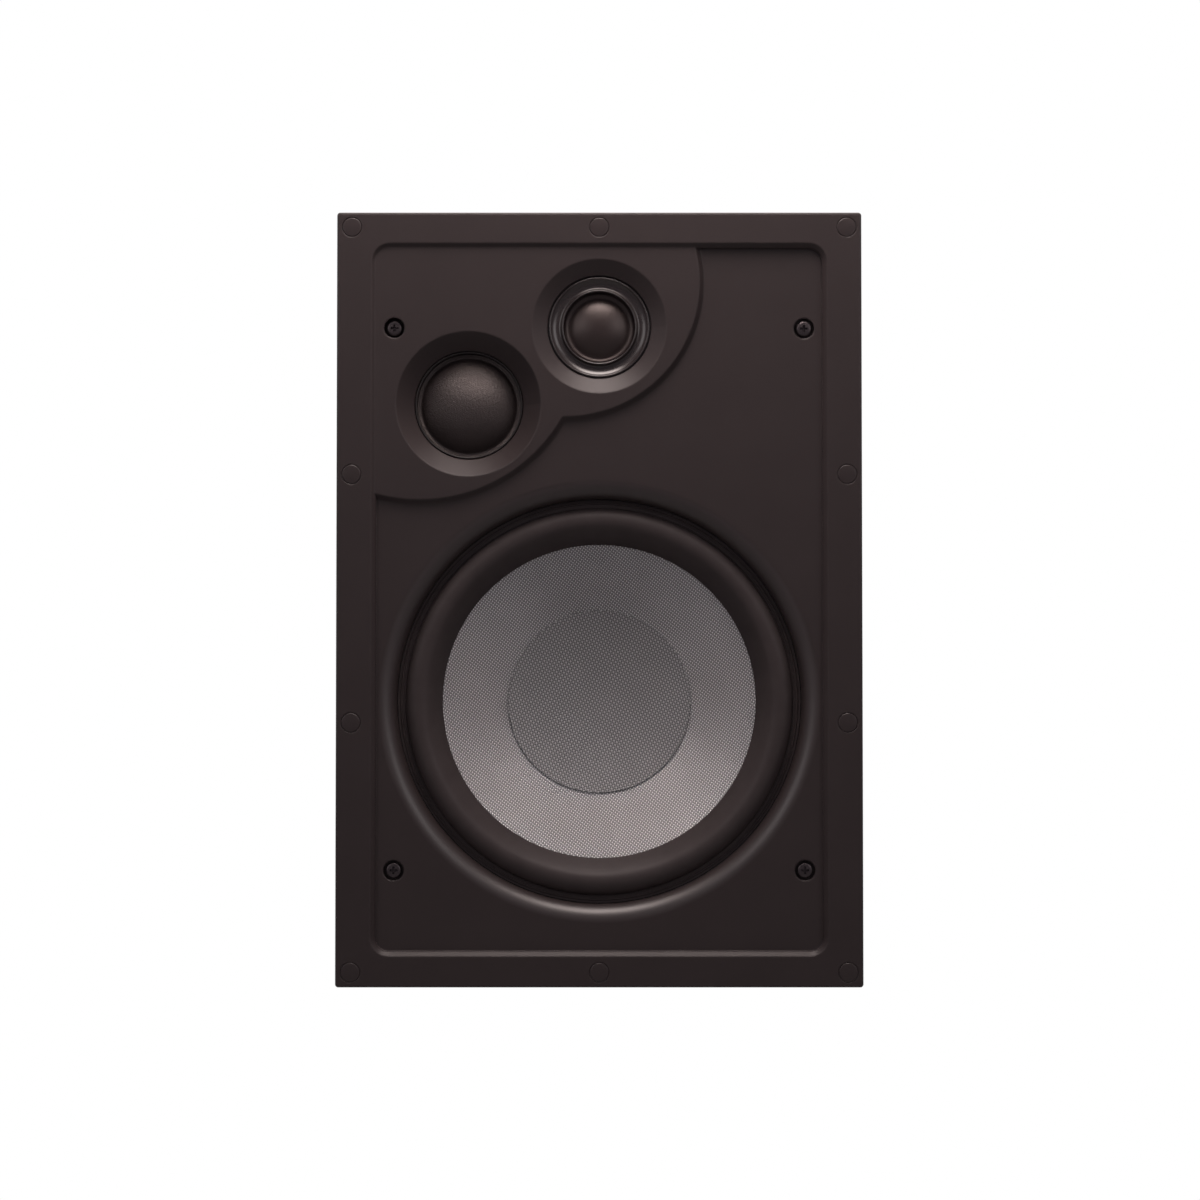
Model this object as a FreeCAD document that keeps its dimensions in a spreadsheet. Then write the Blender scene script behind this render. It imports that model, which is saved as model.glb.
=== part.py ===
import FreeCAD, Part
import math
import os
from types import SimpleNamespace

import Sketcher

# Flush-mount three-way speaker, in millimetres.
# X runs to the right, Z up and Y back into the wall. The origin is the middle of the bezel's back face.
# Depths are measured back from the bezel's front face.
SIZES = {
    # bezel, recess and in-wall body of the baffle
    "side_bezel": 18.5,
    "end_bezel": 16.7,
    "flange_depth": 5.0,
    "edge_round": 1.0,
    "corner_round": 1.5,
    "recess_depth": 4.0,
    "recess_corner": 6.5,
    "recess_slope": 2.2,
    "panel_wall": 3.0,
    "side_margin": 1.0,
    "bottom_margin": 13.2,
    "body_margin": 3.5,
    "body_corner": 8.0,
    "skirt_wall": 2.5,
    "skirt_depth": 20.0,
    "running_gap": 0.3,
    "slip_gap": 0.06,
    # pod that carries the two domes
    "pod_depth": 1.5,
    "pod_slope": 2.2,
    "pod_midrange_margin": 3.7,
    "pod_midrange_left": 22.9,
    "pod_midrange_up": 32.0,
    "pod_tweeter_margin": 5.4,
    "pod_tweeter_left": 16.2,
    "pod_tweeter_up": 20.7,
    # grille magnets
    "magnet_radius": 4.5,
    "magnet_thickness": 2.2,
    "magnet_proud": 0.2,
    "magnet_edge": 7.0,
    # woofer diaphragm
    "woofer_drop": 48.1,
    "cone_radius": 74.2,
    "cone_depth": 26.0,
    "cone_wall": 1.0,
    "cap_radius": 43.5,
    "cap_dish": 4.6,
    "cap_wall": 0.8,
    "surround_inner_lip": 4.8,
    "surround_roll": 12.7,
    "surround_rise": 6.0,
    "surround_outer_lip": 3.6,
    "surround_wall": 0.8,
    "woofer_coil_radius": 19.0,
    "former_wall": 0.3,
    "former_length": 30.0,
    "winding_wall": 0.9,
    "winding_length": 18.0,
    "spider_radius": 52.0,
    "spider_wall": 0.6,
    "spider_wave": 2.4,
    # woofer mouth, basket and motor
    "mouth_round": 8.5,
    "mouth_land": 3.0,
    "gasket_thickness": 1.0,
    "basket_overlap": 6.0,
    "ring_margin": 2.5,
    "basket_wall": 1.2,
    "basket_depth": 29.0,
    "spider_ledge": 7.0,
    "spider_room": 10.0,
    "basket_taper": 3.0,
    "window_rim": 5.0,
    "spoke_width": 14.0,
    "woofer_plate_radius": 45.0,
    "woofer_plate_thickness": 7.0,
    "woofer_magnet_radius": 50.0,
    "woofer_magnet_thickness": 20.0,
    "woofer_back_plate": 7.0,
    "woofer_pole_gap": 0.35,
    "woofer_coil_gap": 0.7,
    "woofer_vent_radius": 6.0,
    "woofer_screw_inset": 3.0,
    # midrange
    "midrange_side_margin": 9.2,
    "midrange_drop": 36.7,
    "midrange_hole_radius": 25.8,
    "midrange_bevel_run": 8.4,
    "midrange_bevel_depth": 8.5,
    "midrange_land": 2.0,
    "midrange_flange": 7.7,
    "midrange_ring_margin": 4.5,
    "midrange_bead_width": 0.9,
    "midrange_bead_crown": 0.3,
    "midrange_frame_depth": 3.3,
    "midrange_dome_radius": 23.4,
    "midrange_dome_height": 9.2,
    "midrange_roll": 1.9,
    "midrange_roll_rise": 0.5,
    "midrange_rim": 2.0,
    "midrange_coil_length": 6.7,
    "midrange_plate_thickness": 4.5,
    "midrange_magnet_radius": 18.0,
    "midrange_magnet_thickness": 12.5,
    "midrange_yoke_wall": 3.4,
    "midrange_yoke_floor": 5.0,
    "midrange_chamber_radius": 22.0,
    "midrange_chamber_depth": 14.0,
    # tweeter
    "tweeter_top_margin": 5.1,
    "tweeter_hole_radius": 24.5,
    "tweeter_bevel_run": 7.3,
    "tweeter_bevel_depth": 4.6,
    "tweeter_land": 3.0,
    "tweeter_flange": 5.6,
    "tweeter_ring_margin": 4.5,
    "tweeter_boss_gap": 0.7,
    "tweeter_rim_width": 1.0,
    "tweeter_rim_setback": 0.4,
    "tweeter_lip_width": 0.9,
    "tweeter_crown": 0.3,
    "tweeter_trough_depth": 1.7,
    "tweeter_plate_depth": 2.2,
    "tweeter_dome_radius": 14.9,
    "tweeter_dome_height": 4.4,
    "tweeter_roll": 2.0,
    "tweeter_roll_rise": 0.4,
    "tweeter_rim": 1.8,
    "tweeter_coil_length": 5.6,
    "tweeter_plate_thickness": 3.6,
    "tweeter_magnet_radius": 11.5,
    "tweeter_magnet_thickness": 9.4,
    "tweeter_yoke_wall": 4.5,
    "tweeter_yoke_floor": 4.0,
    "tweeter_chamber_radius": 17.0,
    "tweeter_chamber_depth": 8.0,
    # parts common to both domes
    "dome_wall": 0.3,
    "dome_seat": 0.8,
    "dome_coil_wall": 0.8,
    "dome_pole_gap": 0.4,
    "dome_motor_gap": 1.0,
    "dome_vent_radius": 3.0,
    "chamber_wall": 2.0,
    # driver screws
    "screw_head_radius": 2.7,
    "screw_head_height": 1.8,
    "screw_shank_radius": 1.4,
    "screw_grip": 3.0,
    # wall clamps
    "clamp_inset": 8.5,
    "clamp_drop": 37.8,
    "clamp_head_radius": 3.8,
    "clamp_head_height": 2.6,
    "clamp_bore_gap": 1.0,
    "clamp_bore_depth": 2.8,
    "clamp_shank_radius": 2.0,
    "clamp_boss_wall": 3.2,
    "clamp_boss_depth": 5.0,
    "clamp_reach": 38.0,
    "clamp_tail": 3.0,
    "nut_wall": 1.3,
    "nut_flange": 1.4,
    "nut_flange_wall": 2.9,
    "hub_wall": 2.1,
    "hub_length": 11.0,
    "arm_length": 20.0,
    "arm_width": 8.0,
    "arm_thickness": 5.0,
    "foot_length": 7.0,
    "tooth_depth": 0.8,
    "rib_wall": 2.5,
    "rib_gap": 0.5,
    "rib_reach": 11.0,
    "cross_width": 1.3,
    "cross_length": 4.4,
    "cross_depth": 1.5,
    # crossover
    "board_gap": 2.0,
    "board_width": 48.0,
    "board_height": 94.0,
    "board_thickness": 1.6,
    "board_top_margin": 11.3,
    "board_standoff": 8.0,
    "standoff_radius": 3.4,
    "board_hole_inset": 4.0,
    "bobbin_radius": 15.0,
    "bobbin_core": 6.0,
    "bobbin_bore": 3.5,
    "bobbin_height": 20.0,
    "bobbin_flange": 1.8,
    "bobbin_inset": 1.2,
    "large_coil_radius": 10.0,
    "large_coil_height": 11.0,
    "small_coil_radius": 8.5,
    "small_coil_height": 8.0,
    "coil_bore": 4.5,
    "part_gap": 2.0,
    "capacitor_radius": 5.5,
    "capacitor_length": 20.0,
    "resistor_width": 7.0,
    "resistor_length": 20.0,
    # spring terminals
    "terminal_width": 31.0,
    "terminal_height": 16.0,
    "terminal_depth": 15.0,
    "terminal_pitch": 15.5,
    "terminal_well_depth": 6.0,
    "terminal_stroke": 4.0,
    "terminal_cap_radius": 5.0,
    "terminal_cap_height": 5.6,
    "terminal_stem_radius": 2.2,
    "terminal_wire_radius": 1.3,
}
MAGNET_BAYS = 3
WOOFER_SCREWS = 8
DOME_SCREWS = 3
BASKET_SPOKES = 6
SPIDER_WAVES = 4
FOOT_TEETH = 3
SAME_DEPTH = 1e-4


class Size:
    """A length and the sheet formula that gives it."""

    def __init__(self, value, formula):
        self.value = value
        self.formula = formula

    def __add__(self, other):
        other = as_size(other)
        return Size(self.value + other.value, f"({self.formula} + {other.formula})")

    def __sub__(self, other):
        other = as_size(other)
        return Size(self.value - other.value, f"({self.formula} - {other.formula})")

    def __mul__(self, other):
        other = as_size(other)
        return Size(self.value * other.value, f"{self.formula} * {other.formula}")

    def __truediv__(self, other):
        other = as_size(other)
        return Size(self.value / other.value, f"({self.formula}) / ({other.formula})")

    def __neg__(self):
        return Size(-self.value, f"(0 - {self.formula})")

    __radd__ = __add__
    __rmul__ = __mul__

    def __rsub__(self, other):
        return as_size(other) - self


def as_size(amount):
    return amount if isinstance(amount, Size) else Size(float(amount), f"({amount:.9g})")


def long_side(across, along):
    """The hypotenuse of two lengths."""
    formula = f"sqrt({across.formula} * {across.formula} + {along.formula} * {along.formula})"
    return Size(math.hypot(across.value, along.value), formula)


def cap_radius(half_chord, rise):
    """The radius of an arc that rises by a given amount over its chord."""
    return (half_chord * half_chord + rise * rise) / (2 * rise)


doc = FreeCAD.newDocument("flush_mount_speaker")
sheet = doc.addObject("Spreadsheet::Sheet", "sizes")
for row, (name, amount) in enumerate(SIZES.items(), start=1):
    sheet.set(f"A{row}", name)
    sheet.set(f"B{row}", str(amount))
    sheet.setAlias(f"B{row}", name)
doc.recompute()
dim = SimpleNamespace(**{name: Size(float(getattr(sheet, name)), f"sizes.{name}") for name in SIZES})
nodes = []


# Shared building steps
def bind(item, path, amount):
    """Tie one property to its sheet formula."""
    item.setExpression(path, as_size(amount).formula)


def place(item, across=0, depth=0, up=0):
    """Stand an object at a place on the speaker, its depth counted from the bezel's front."""
    bind(item, "Placement.Base.x", across)
    bind(item, "Placement.Base.y", depth - dim.flange_depth)
    bind(item, "Placement.Base.z", up)


def node(item, label):
    item.Label = label
    nodes.append(item)
    return item


def new_body(label, across=0, up=0, turned=False):
    body = doc.addObject("PartDesign::Body", label)
    if turned:
        body.Placement.Rotation = FreeCAD.Rotation(FreeCAD.Vector(0, 1, 0), 180)
    place(body, across, 0, up)
    return node(body, label)


def new_sketch(body, role, name, offset=(0, 0, 0)):
    sketch = body.newObject("Sketcher::SketchObject", f"{body.Label}_{name}")
    plane = next(feature for feature in body.Origin.OriginFeatures if feature.Role == role)
    sketch.AttachmentSupport = [(plane, "")]
    sketch.MapMode = "FlatFace"
    for axis, amount in zip("xyz", offset):
        bind(sketch, f"AttachmentOffset.Base.{axis}", amount)
    return sketch


def face_sketch(body, name, depth=0):
    """A sketch seen from the front, drawn in X and Z, at a depth."""
    return new_sketch(body, "XZ_Plane", name, (0, 0, -as_size(depth)))


def side_sketch(body, name, across=0, up=0):
    """A sketch of radius and depth beside an axis that runs back into the wall."""
    return new_sketch(body, "XY_Plane", name, (across, 0, up))


def hold(sketch, kind, geometry, corner, amount):
    """Fix one coordinate of a corner, from the sketch's origin."""
    index = sketch.addConstraint(
        Sketcher.Constraint(kind, -1, 1, geometry, corner, as_size(amount).value)
    )
    bind(sketch, f"Constraints[{index}]", amount)


def hold_radius(sketch, geometry, radius):
    index = sketch.addConstraint(Sketcher.Constraint("Radius", geometry, radius.value))
    bind(sketch, f"Constraints[{index}]", radius)


def circle(sketch, across, along, radius):
    middle = FreeCAD.Vector(as_size(across).value, as_size(along).value)
    index = sketch.addGeometry(Part.Circle(middle, FreeCAD.Vector(0, 0, 1), radius.value))
    hold(sketch, "DistanceX", index, 3, across)
    hold(sketch, "DistanceY", index, 3, along)
    hold_radius(sketch, index, radius)


def arc_between(start, end, radius, leftward):
    """The short arc from start to end, turning left or right."""
    chord = end - start
    half = chord.Length / 2
    side = FreeCAD.Vector(-chord.y, chord.x).normalize()
    reach = math.sqrt(max(radius * radius - half * half, 0))
    centre = (start + end) * 0.5 + side * (reach if leftward else -reach)
    first, last = (start, end) if leftward else (end, start)
    first_angle = math.atan2(first.y - centre.y, first.x - centre.x)
    last_angle = math.atan2(last.y - centre.y, last.x - centre.x)
    whole = Part.Circle(centre, FreeCAD.Vector(0, 0, 1), radius)
    return Part.ArcOfCircle(whole, first_angle, last_angle)


def outline(sketch, corners):
    """Draw a closed outline. A corner is (across, along), or (across, along, radius, turn) where an arc
    of that radius leads on to the next corner, turning "left" or "right"."""
    spots = [FreeCAD.Vector(as_size(c[0]).value, as_size(c[1]).value) for c in corners]
    starts = []
    ends = []
    for index, corner in enumerate(corners):
        after = spots[(index + 1) % len(spots)]
        if len(corner) == 2:
            line = sketch.addGeometry(Part.LineSegment(spots[index], after))
            starts.append((line, 1))
            ends.append((line, 2))
        else:
            leftward = corner[3] == "left"
            arc = sketch.addGeometry(arc_between(spots[index], after, corner[2].value, leftward))
            starts.append((arc, 1 if leftward else 2))
            ends.append((arc, 2 if leftward else 1))
    for end, start in zip(ends, starts[1:] + starts[:1]):
        sketch.addConstraint(Sketcher.Constraint("Coincident", *end, *start))
    for corner, start in zip(corners, starts):
        hold(sketch, "DistanceX", *start, corner[0])
        hold(sketch, "DistanceY", *start, corner[1])
        if len(corner) > 2:
            hold_radius(sketch, start[0], corner[2])


def rectangle(sketch, left, right, low, high):
    outline(sketch, [(left, low), (right, low), (right, high), (left, high)])


def rounded_rectangle(sketch, half_width, half_height, radius):
    across = half_width - radius
    along = half_height - radius
    outline(
        sketch,
        [
            (-across, -half_height),
            (across, -half_height, radius, "left"),
            (half_width, -along),
            (half_width, along, radius, "left"),
            (across, half_height),
            (-across, half_height, radius, "left"),
            (-half_width, along),
            (-half_width, -along, radius, "left"),
        ],
    )


def pad(sketch, length):
    """Add material from a front-view sketch back into the wall."""
    body = sketch.getParentGeoFeatureGroup()
    feature = body.newObject("PartDesign::Pad", f"{sketch.Name}_pad")
    feature.Profile = sketch
    feature.Reversed = True
    bind(feature, "Length", length)
    doc.recompute()
    return feature


def pocket(sketch, length, upward=False):
    """Cut from a front-view sketch back into the wall, or from a level sketch upwards, and make sure
    that something was cut."""
    body = sketch.getParentGeoFeatureGroup()
    before = body.Shape.Volume
    feature = body.newObject("PartDesign::Pocket", f"{sketch.Name}_pocket")
    feature.Profile = sketch
    feature.Reversed = upward
    bind(feature, "Length", length)
    doc.recompute()
    if feature.Shape.Volume >= before:
        raise RuntimeError(f"{feature.Name} cuts nothing")
    return feature


def turned(sketch, kind):
    """Spin a side sketch about its own upright axis."""
    body = sketch.getParentGeoFeatureGroup()
    feature = body.newObject(f"PartDesign::{kind}", f"{sketch.Name}_{kind.lower()}")
    feature.Profile = sketch
    feature.ReferenceAxis = (sketch, ["V_Axis"])
    feature.Angle = 360
    doc.recompute()
    return feature


def turned_part(label, centre, corners):
    """A piece of revolution about a driver's axis."""
    body = new_body(label, *centre)
    sketch = side_sketch(body, "section")
    outline(sketch, corners)
    turned(sketch, "Revolution")
    return body


def edges_where(feature, test):
    return [
        f"Edge{index}"
        for index, edge in enumerate(feature.Shape.Edges, start=1)
        if test(edge)
    ]


def dress(feature, kind, size_name, size, test):
    """Round or bevel the edges of a feature that pass a test."""
    body = feature.getParentGeoFeatureGroup()
    edges = edges_where(feature, test)
    if not edges:
        raise RuntimeError(f"{feature.Name} has no such edge")
    trim = body.newObject(f"PartDesign::{kind}", f"{feature.Name}_{kind.lower()}")
    trim.Base = (feature, edges)
    bind(trim, size_name, size)
    doc.recompute()
    return trim


def lies_at(edge, depth):
    """True for an edge that stays at one depth."""
    box = edge.BoundBox
    return abs(box.YMin - depth.value) < SAME_DEPTH and abs(box.YMax - depth.value) < SAME_DEPTH


def cylinder(radius, length, across, depth, up):
    """A plain round bar that runs back into the wall."""
    bar = doc.addObject("Part::Cylinder", "bar")
    bar.Placement.Rotation = FreeCAD.Rotation(FreeCAD.Vector(1, 0, 0), -90)
    bind(bar, "Radius", radius)
    bind(bar, "Height", length)
    place(bar, across, depth, up)
    return bar


def upright_cylinder(radius, length, across, depth, up):
    bar = doc.addObject("Part::Cylinder", "bar")
    bind(bar, "Radius", radius)
    bind(bar, "Height", length)
    place(bar, across, depth, up)
    return bar


def block(width, thickness, height, across, depth, up):
    """A box, placed by its left, front and lower corner."""
    box = doc.addObject("Part::Box", "block")
    bind(box, "Length", width)
    bind(box, "Width", thickness)
    bind(box, "Height", height)
    place(box, across, depth, up)
    return box


def group(label, items):
    compound = doc.addObject("Part::Compound", label)
    compound.Links = items
    return node(compound, label)


def around(count, start=90):
    """Evenly spaced directions round a driver, as cosine and sine."""
    turns = [math.radians(start + 360 * index / count) for index in range(count)]
    return [(math.cos(turn), math.sin(turn)) for turn in turns]


# Layout, worked outwards from the woofer
rim_radius = dim.cone_radius + dim.surround_inner_lip
roll_radius = rim_radius + dim.surround_roll
lip_radius = roll_radius + dim.surround_outer_lip
mouth_radius = lip_radius + dim.running_gap
mouth_outer = mouth_radius + dim.mouth_round
recess_x = mouth_outer + dim.side_margin
recess_z = dim.woofer_drop + mouth_outer + dim.bottom_margin
face_x = recess_x + dim.side_bezel
face_z = recess_z + dim.end_bezel
body_x = recess_x + dim.body_margin
body_z = recess_z + dim.body_margin
panel_back = dim.recess_depth + dim.panel_wall

woofer_z = -dim.woofer_drop
woofer_centre = (0, woofer_z)
tweeter_bevel = dim.tweeter_hole_radius + dim.tweeter_bevel_run
tweeter_z = recess_z - dim.tweeter_top_margin - tweeter_bevel
tweeter_centre = (0, tweeter_z)
midrange_bevel = dim.midrange_hole_radius + dim.midrange_bevel_run
midrange_x = -(recess_x - dim.midrange_side_margin - midrange_bevel)
midrange_z = tweeter_z - dim.midrange_drop
midrange_centre = (midrange_x, midrange_z)

# Depths of the three driver seats
woofer_seat = dim.recess_depth + dim.mouth_round + dim.mouth_land
basket_face = woofer_seat + dim.gasket_thickness
midrange_seat = dim.pod_depth + dim.midrange_bevel_depth + dim.midrange_land
tweeter_seat = dim.pod_depth + dim.tweeter_bevel_depth + dim.tweeter_land

# Outer radii of the driver flanges and of the seats moulded for them
basket_radius = mouth_radius + dim.basket_overlap
midrange_flange_radius = dim.midrange_hole_radius + dim.midrange_flange
tweeter_flange_radius = dim.tweeter_hole_radius + dim.tweeter_flange
woofer_screw_circle = basket_radius - dim.woofer_screw_inset
midrange_screw_circle = midrange_flange_radius - dim.screw_head_radius
tweeter_screw_circle = tweeter_flange_radius - dim.screw_head_radius

# Clamp places: the arms of the right pair stow upwards, those of the left pair downwards
clamp_x = recess_x - dim.clamp_inset
clamp_z = recess_z - dim.clamp_drop
nut_radius = dim.clamp_shank_radius + dim.slip_gap + dim.nut_wall
hub_radius = nut_radius + dim.slip_gap + dim.hub_wall
rib_face = hub_radius + dim.rib_gap
rib_outer = rib_face + dim.rib_wall
hub_front = dim.flange_depth + dim.clamp_reach
hub_back = hub_front + dim.hub_length
clamp_seat = dim.recess_depth + dim.clamp_bore_depth
CLAMPS = [(1, 1), (1, -1), (-1, 1), (-1, -1)]

# Crossover board beside the tweeter
board_right = clamp_x - rib_outer - dim.board_gap
board_left = board_right - dim.board_width
board_top = recess_z - dim.board_top_margin
board_bottom = board_top - dim.board_height
board_front = panel_back + dim.board_standoff
board_back = board_front + dim.board_thickness
board_holes = [
    (across, up)
    for across in (board_left + dim.board_hole_inset, board_right - dim.board_hole_inset)
    for up in (board_bottom + dim.board_hole_inset, board_top - dim.board_hole_inset)
]

magnet_x = face_x - dim.magnet_edge
magnet_z = face_z - dim.magnet_edge
magnet_step = 2 * magnet_z / MAGNET_BAYS
magnet_spots = [(0, magnet_z), (0, -magnet_z)]
for bay in range(MAGNET_BAYS + 1):
    magnet_up = magnet_step * bay - magnet_z
    magnet_spots += [(magnet_x, magnet_up), (-magnet_x, magnet_up)]


# Front baffle: bezel, recessed panel, pod, driver mouths, skirt and clamp towers in one moulding
def screw_spots(centre, circle_radius, directions):
    return [(centre[0] + circle_radius * c, centre[1] + circle_radius * s) for c, s in directions]


woofer_directions = around(WOOFER_SCREWS, 90 + 180 / WOOFER_SCREWS)
dome_directions = around(DOME_SCREWS)
woofer_screw_spots = screw_spots(woofer_centre, woofer_screw_circle, woofer_directions)
midrange_screw_spots = screw_spots(midrange_centre, midrange_screw_circle, dome_directions)
tweeter_screw_spots = screw_spots(tweeter_centre, tweeter_screw_circle, dome_directions)
woofer_hole_spots = screw_spots((0, 0), woofer_screw_circle, woofer_directions)
midrange_hole_spots = screw_spots((0, 0), midrange_screw_circle, dome_directions)
tweeter_hole_spots = screw_spots((0, 0), tweeter_screw_circle, dome_directions)


def pod_outline(sketch, spread):
    """Two arcs below and beside the domes, closed by straight sides hidden inside the bezel."""
    lower = (midrange_x - dim.pod_midrange_left, midrange_z + dim.pod_midrange_up)
    upper = (-dim.pod_tweeter_left, tweeter_z + dim.pod_tweeter_up)
    lower_reach = long_side(dim.pod_midrange_left, dim.pod_midrange_up)
    upper_reach = long_side(dim.pod_tweeter_left, dim.pod_tweeter_up)
    lower_radius = lower_reach + midrange_bevel + dim.pod_midrange_margin + spread
    upper_radius = upper_reach + tweeter_bevel + dim.pod_tweeter_margin + spread
    buried_x = -(recess_x + dim.skirt_wall)
    buried_z = recess_z + dim.skirt_wall
    left_drop = long_leg(lower_radius, buried_x - lower[0])
    top_reach = long_leg(upper_radius, buried_z - upper[1])
    kink = crossing(lower, lower_radius, upper, upper_radius)
    outline(
        sketch,
        [
            (buried_x, lower[1] - left_drop, lower_radius, "left"),
            (*kink, upper_radius, "left"),
            (upper[0] + top_reach, buried_z),
            (buried_x, buried_z),
        ],
    )


def long_leg(slant, leg):
    """The other leg of a right triangle."""
    formula = f"sqrt({slant.formula} * {slant.formula} - {leg.formula} * {leg.formula})"
    return Size(math.sqrt(slant.value**2 - leg.value**2), formula)


def crossing(first, first_radius, second, second_radius):
    """The lower right crossing of two circles."""
    across = second[0] - first[0]
    along = second[1] - first[1]
    apart = long_side(across, along)
    squares = first_radius * first_radius - second_radius * second_radius
    shift = (squares + apart * apart) / (2 * apart)
    rise = long_leg(first_radius, shift)
    return (
        first[0] + across * (shift / apart) + along * (rise / apart),
        first[1] + along * (shift / apart) - across * (rise / apart),
    )


def clamp_rectangle(sketch, side, level, left, right, low, high):
    """A rectangle given beside a right-hand clamp screw, turned half round for the left-hand ones."""
    middle_x = side * clamp_x
    middle_z = level * clamp_z
    across = sorted([middle_x + side * left, middle_x + side * right], key=lambda size: size.value)
    along = sorted([middle_z + side * low, middle_z + side * high], key=lambda size: size.value)
    rectangle(sketch, *across, *along)


def front_baffle():
    body = new_body("front_baffle")

    sketch = face_sketch(body, "bezel")
    rounded_rectangle(sketch, face_x, face_z, dim.corner_round)
    bezel = pad(sketch, dim.flange_depth)
    dress(bezel, "Fillet", "Radius", dim.edge_round, lambda edge: lies_at(edge, as_size(0)))

    sketch = face_sketch(body, "recess")
    rounded_rectangle(sketch, recess_x, recess_z, dim.recess_corner)
    recess = pocket(sketch, dim.recess_depth)
    inside_x = recess_x.value + dim.recess_slope.value
    inside_z = recess_z.value + dim.recess_slope.value

    def at_recess(edge):
        """True for a front edge of the recess, not of the bezel's outside."""
        box = edge.BoundBox
        across = max(abs(box.XMin), abs(box.XMax))
        along = max(abs(box.ZMin), abs(box.ZMax))
        return lies_at(edge, as_size(0)) and across < inside_x and along < inside_z

    dress(recess, "Chamfer", "Size", dim.recess_slope, at_recess)

    sketch = face_sketch(body, "panel", dim.recess_depth)
    rounded_rectangle(sketch, body_x, body_z, dim.body_corner)
    pad(sketch, dim.panel_wall)

    foot = face_sketch(body, "pod_foot", dim.recess_depth)
    pod_outline(foot, dim.pod_slope)
    face = face_sketch(body, "pod_face", dim.pod_depth)
    pod_outline(face, 0)
    pod = body.newObject("PartDesign::AdditiveLoft", "pod")
    pod.Profile = foot
    pod.Sections = [face]
    pod.Ruled = True
    doc.recompute()

    sketch = face_sketch(body, "skirt", panel_back)
    rounded_rectangle(sketch, body_x, body_z, dim.body_corner)
    inner_corner = dim.body_corner - dim.skirt_wall
    rounded_rectangle(sketch, body_x - dim.skirt_wall, body_z - dim.skirt_wall, inner_corner)
    pad(sketch, dim.skirt_depth)

    for name, centre, radius, seat in (
        ("woofer_ring", woofer_centre, basket_radius + dim.ring_margin, woofer_seat),
        ("midrange_ring", midrange_centre, midrange_flange_radius + dim.midrange_ring_margin, midrange_seat),
        ("tweeter_ring", tweeter_centre, tweeter_flange_radius + dim.tweeter_ring_margin, tweeter_seat),
    ):
        sketch = face_sketch(body, name, dim.recess_depth + dim.panel_wall / 2)
        circle(sketch, *centre, radius)
        pad(sketch, seat - dim.recess_depth - dim.panel_wall / 2)

    sketch = face_sketch(body, "clamp_bosses", dim.recess_depth + dim.panel_wall / 2)
    for side, level in CLAMPS:
        boss_radius = dim.clamp_shank_radius + dim.clamp_boss_wall
        circle(sketch, side * clamp_x, level * clamp_z, boss_radius)
    pad(sketch, dim.clamp_boss_depth + dim.panel_wall / 2)

    sketch = face_sketch(body, "clamp_stow_ribs", dim.recess_depth + dim.panel_wall / 2)
    for side, level in CLAMPS:
        clamp_rectangle(sketch, side, level, -rib_outer, -rib_face, -rib_outer, dim.rib_reach)
    pad(sketch, hub_back - dim.recess_depth - dim.panel_wall / 2)

    sketch = face_sketch(body, "clamp_stop_ribs", dim.recess_depth + dim.panel_wall / 2)
    for side, level in CLAMPS:
        clamp_rectangle(sketch, side, level, -rib_outer, rib_face, -rib_outer, -rib_face)
    pad(sketch, hub_back - dim.recess_depth - dim.panel_wall / 2)

    sketch = face_sketch(body, "board_posts", dim.recess_depth + dim.panel_wall / 2)
    for spot in board_holes:
        circle(sketch, *spot, dim.standoff_radius)
    pad(sketch, dim.board_standoff + dim.panel_wall / 2)

    sketch = face_sketch(body, "arm_gaps", panel_back)
    gap_left = body_x - clamp_x - dim.skirt_wall - dim.rib_gap
    gap_right = body_x - clamp_x + dim.rib_gap
    for side, level in CLAMPS:
        clamp_rectangle(sketch, side, level, gap_left, gap_right, -rib_face, dim.arm_length + dim.rib_wall)
    pocket(sketch, dim.skirt_depth)

    driver_mouths(body)
    baffle_holes(body)
    return body


def driver_mouths(body):
    """The rounded woofer mouth and the two bevelled dome openings, spun about the drivers' axes."""
    clear_front = -dim.flange_depth
    clear_back = dim.flange_depth
    sketch = side_sketch(body, "woofer_mouth", *woofer_centre)
    round_end = dim.recess_depth + dim.mouth_round
    outline(
        sketch,
        [
            (0, clear_front),
            (mouth_outer, clear_front),
            (mouth_outer, dim.recess_depth, dim.mouth_round, "right"),
            (mouth_radius, round_end),
            (mouth_radius, woofer_seat + clear_back),
            (0, woofer_seat + clear_back),
        ],
    )
    turned(sketch, "Groove")
    for name, centre, bevel, hole, depth, seat in (
        (
            "midrange_mouth",
            midrange_centre,
            midrange_bevel,
            dim.midrange_hole_radius,
            dim.midrange_bevel_depth,
            midrange_seat,
        ),
        (
            "tweeter_mouth",
            tweeter_centre,
            tweeter_bevel,
            dim.tweeter_hole_radius,
            dim.tweeter_bevel_depth,
            tweeter_seat,
        ),
    ):
        sketch = side_sketch(body, name, *centre)
        outline(
            sketch,
            [
                (0, clear_front),
                (bevel, clear_front),
                (bevel, dim.pod_depth),
                (hole, dim.pod_depth + depth),
                (hole, seat + clear_back),
                (0, seat + clear_back),
            ],
        )
        turned(sketch, "Groove")


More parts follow.
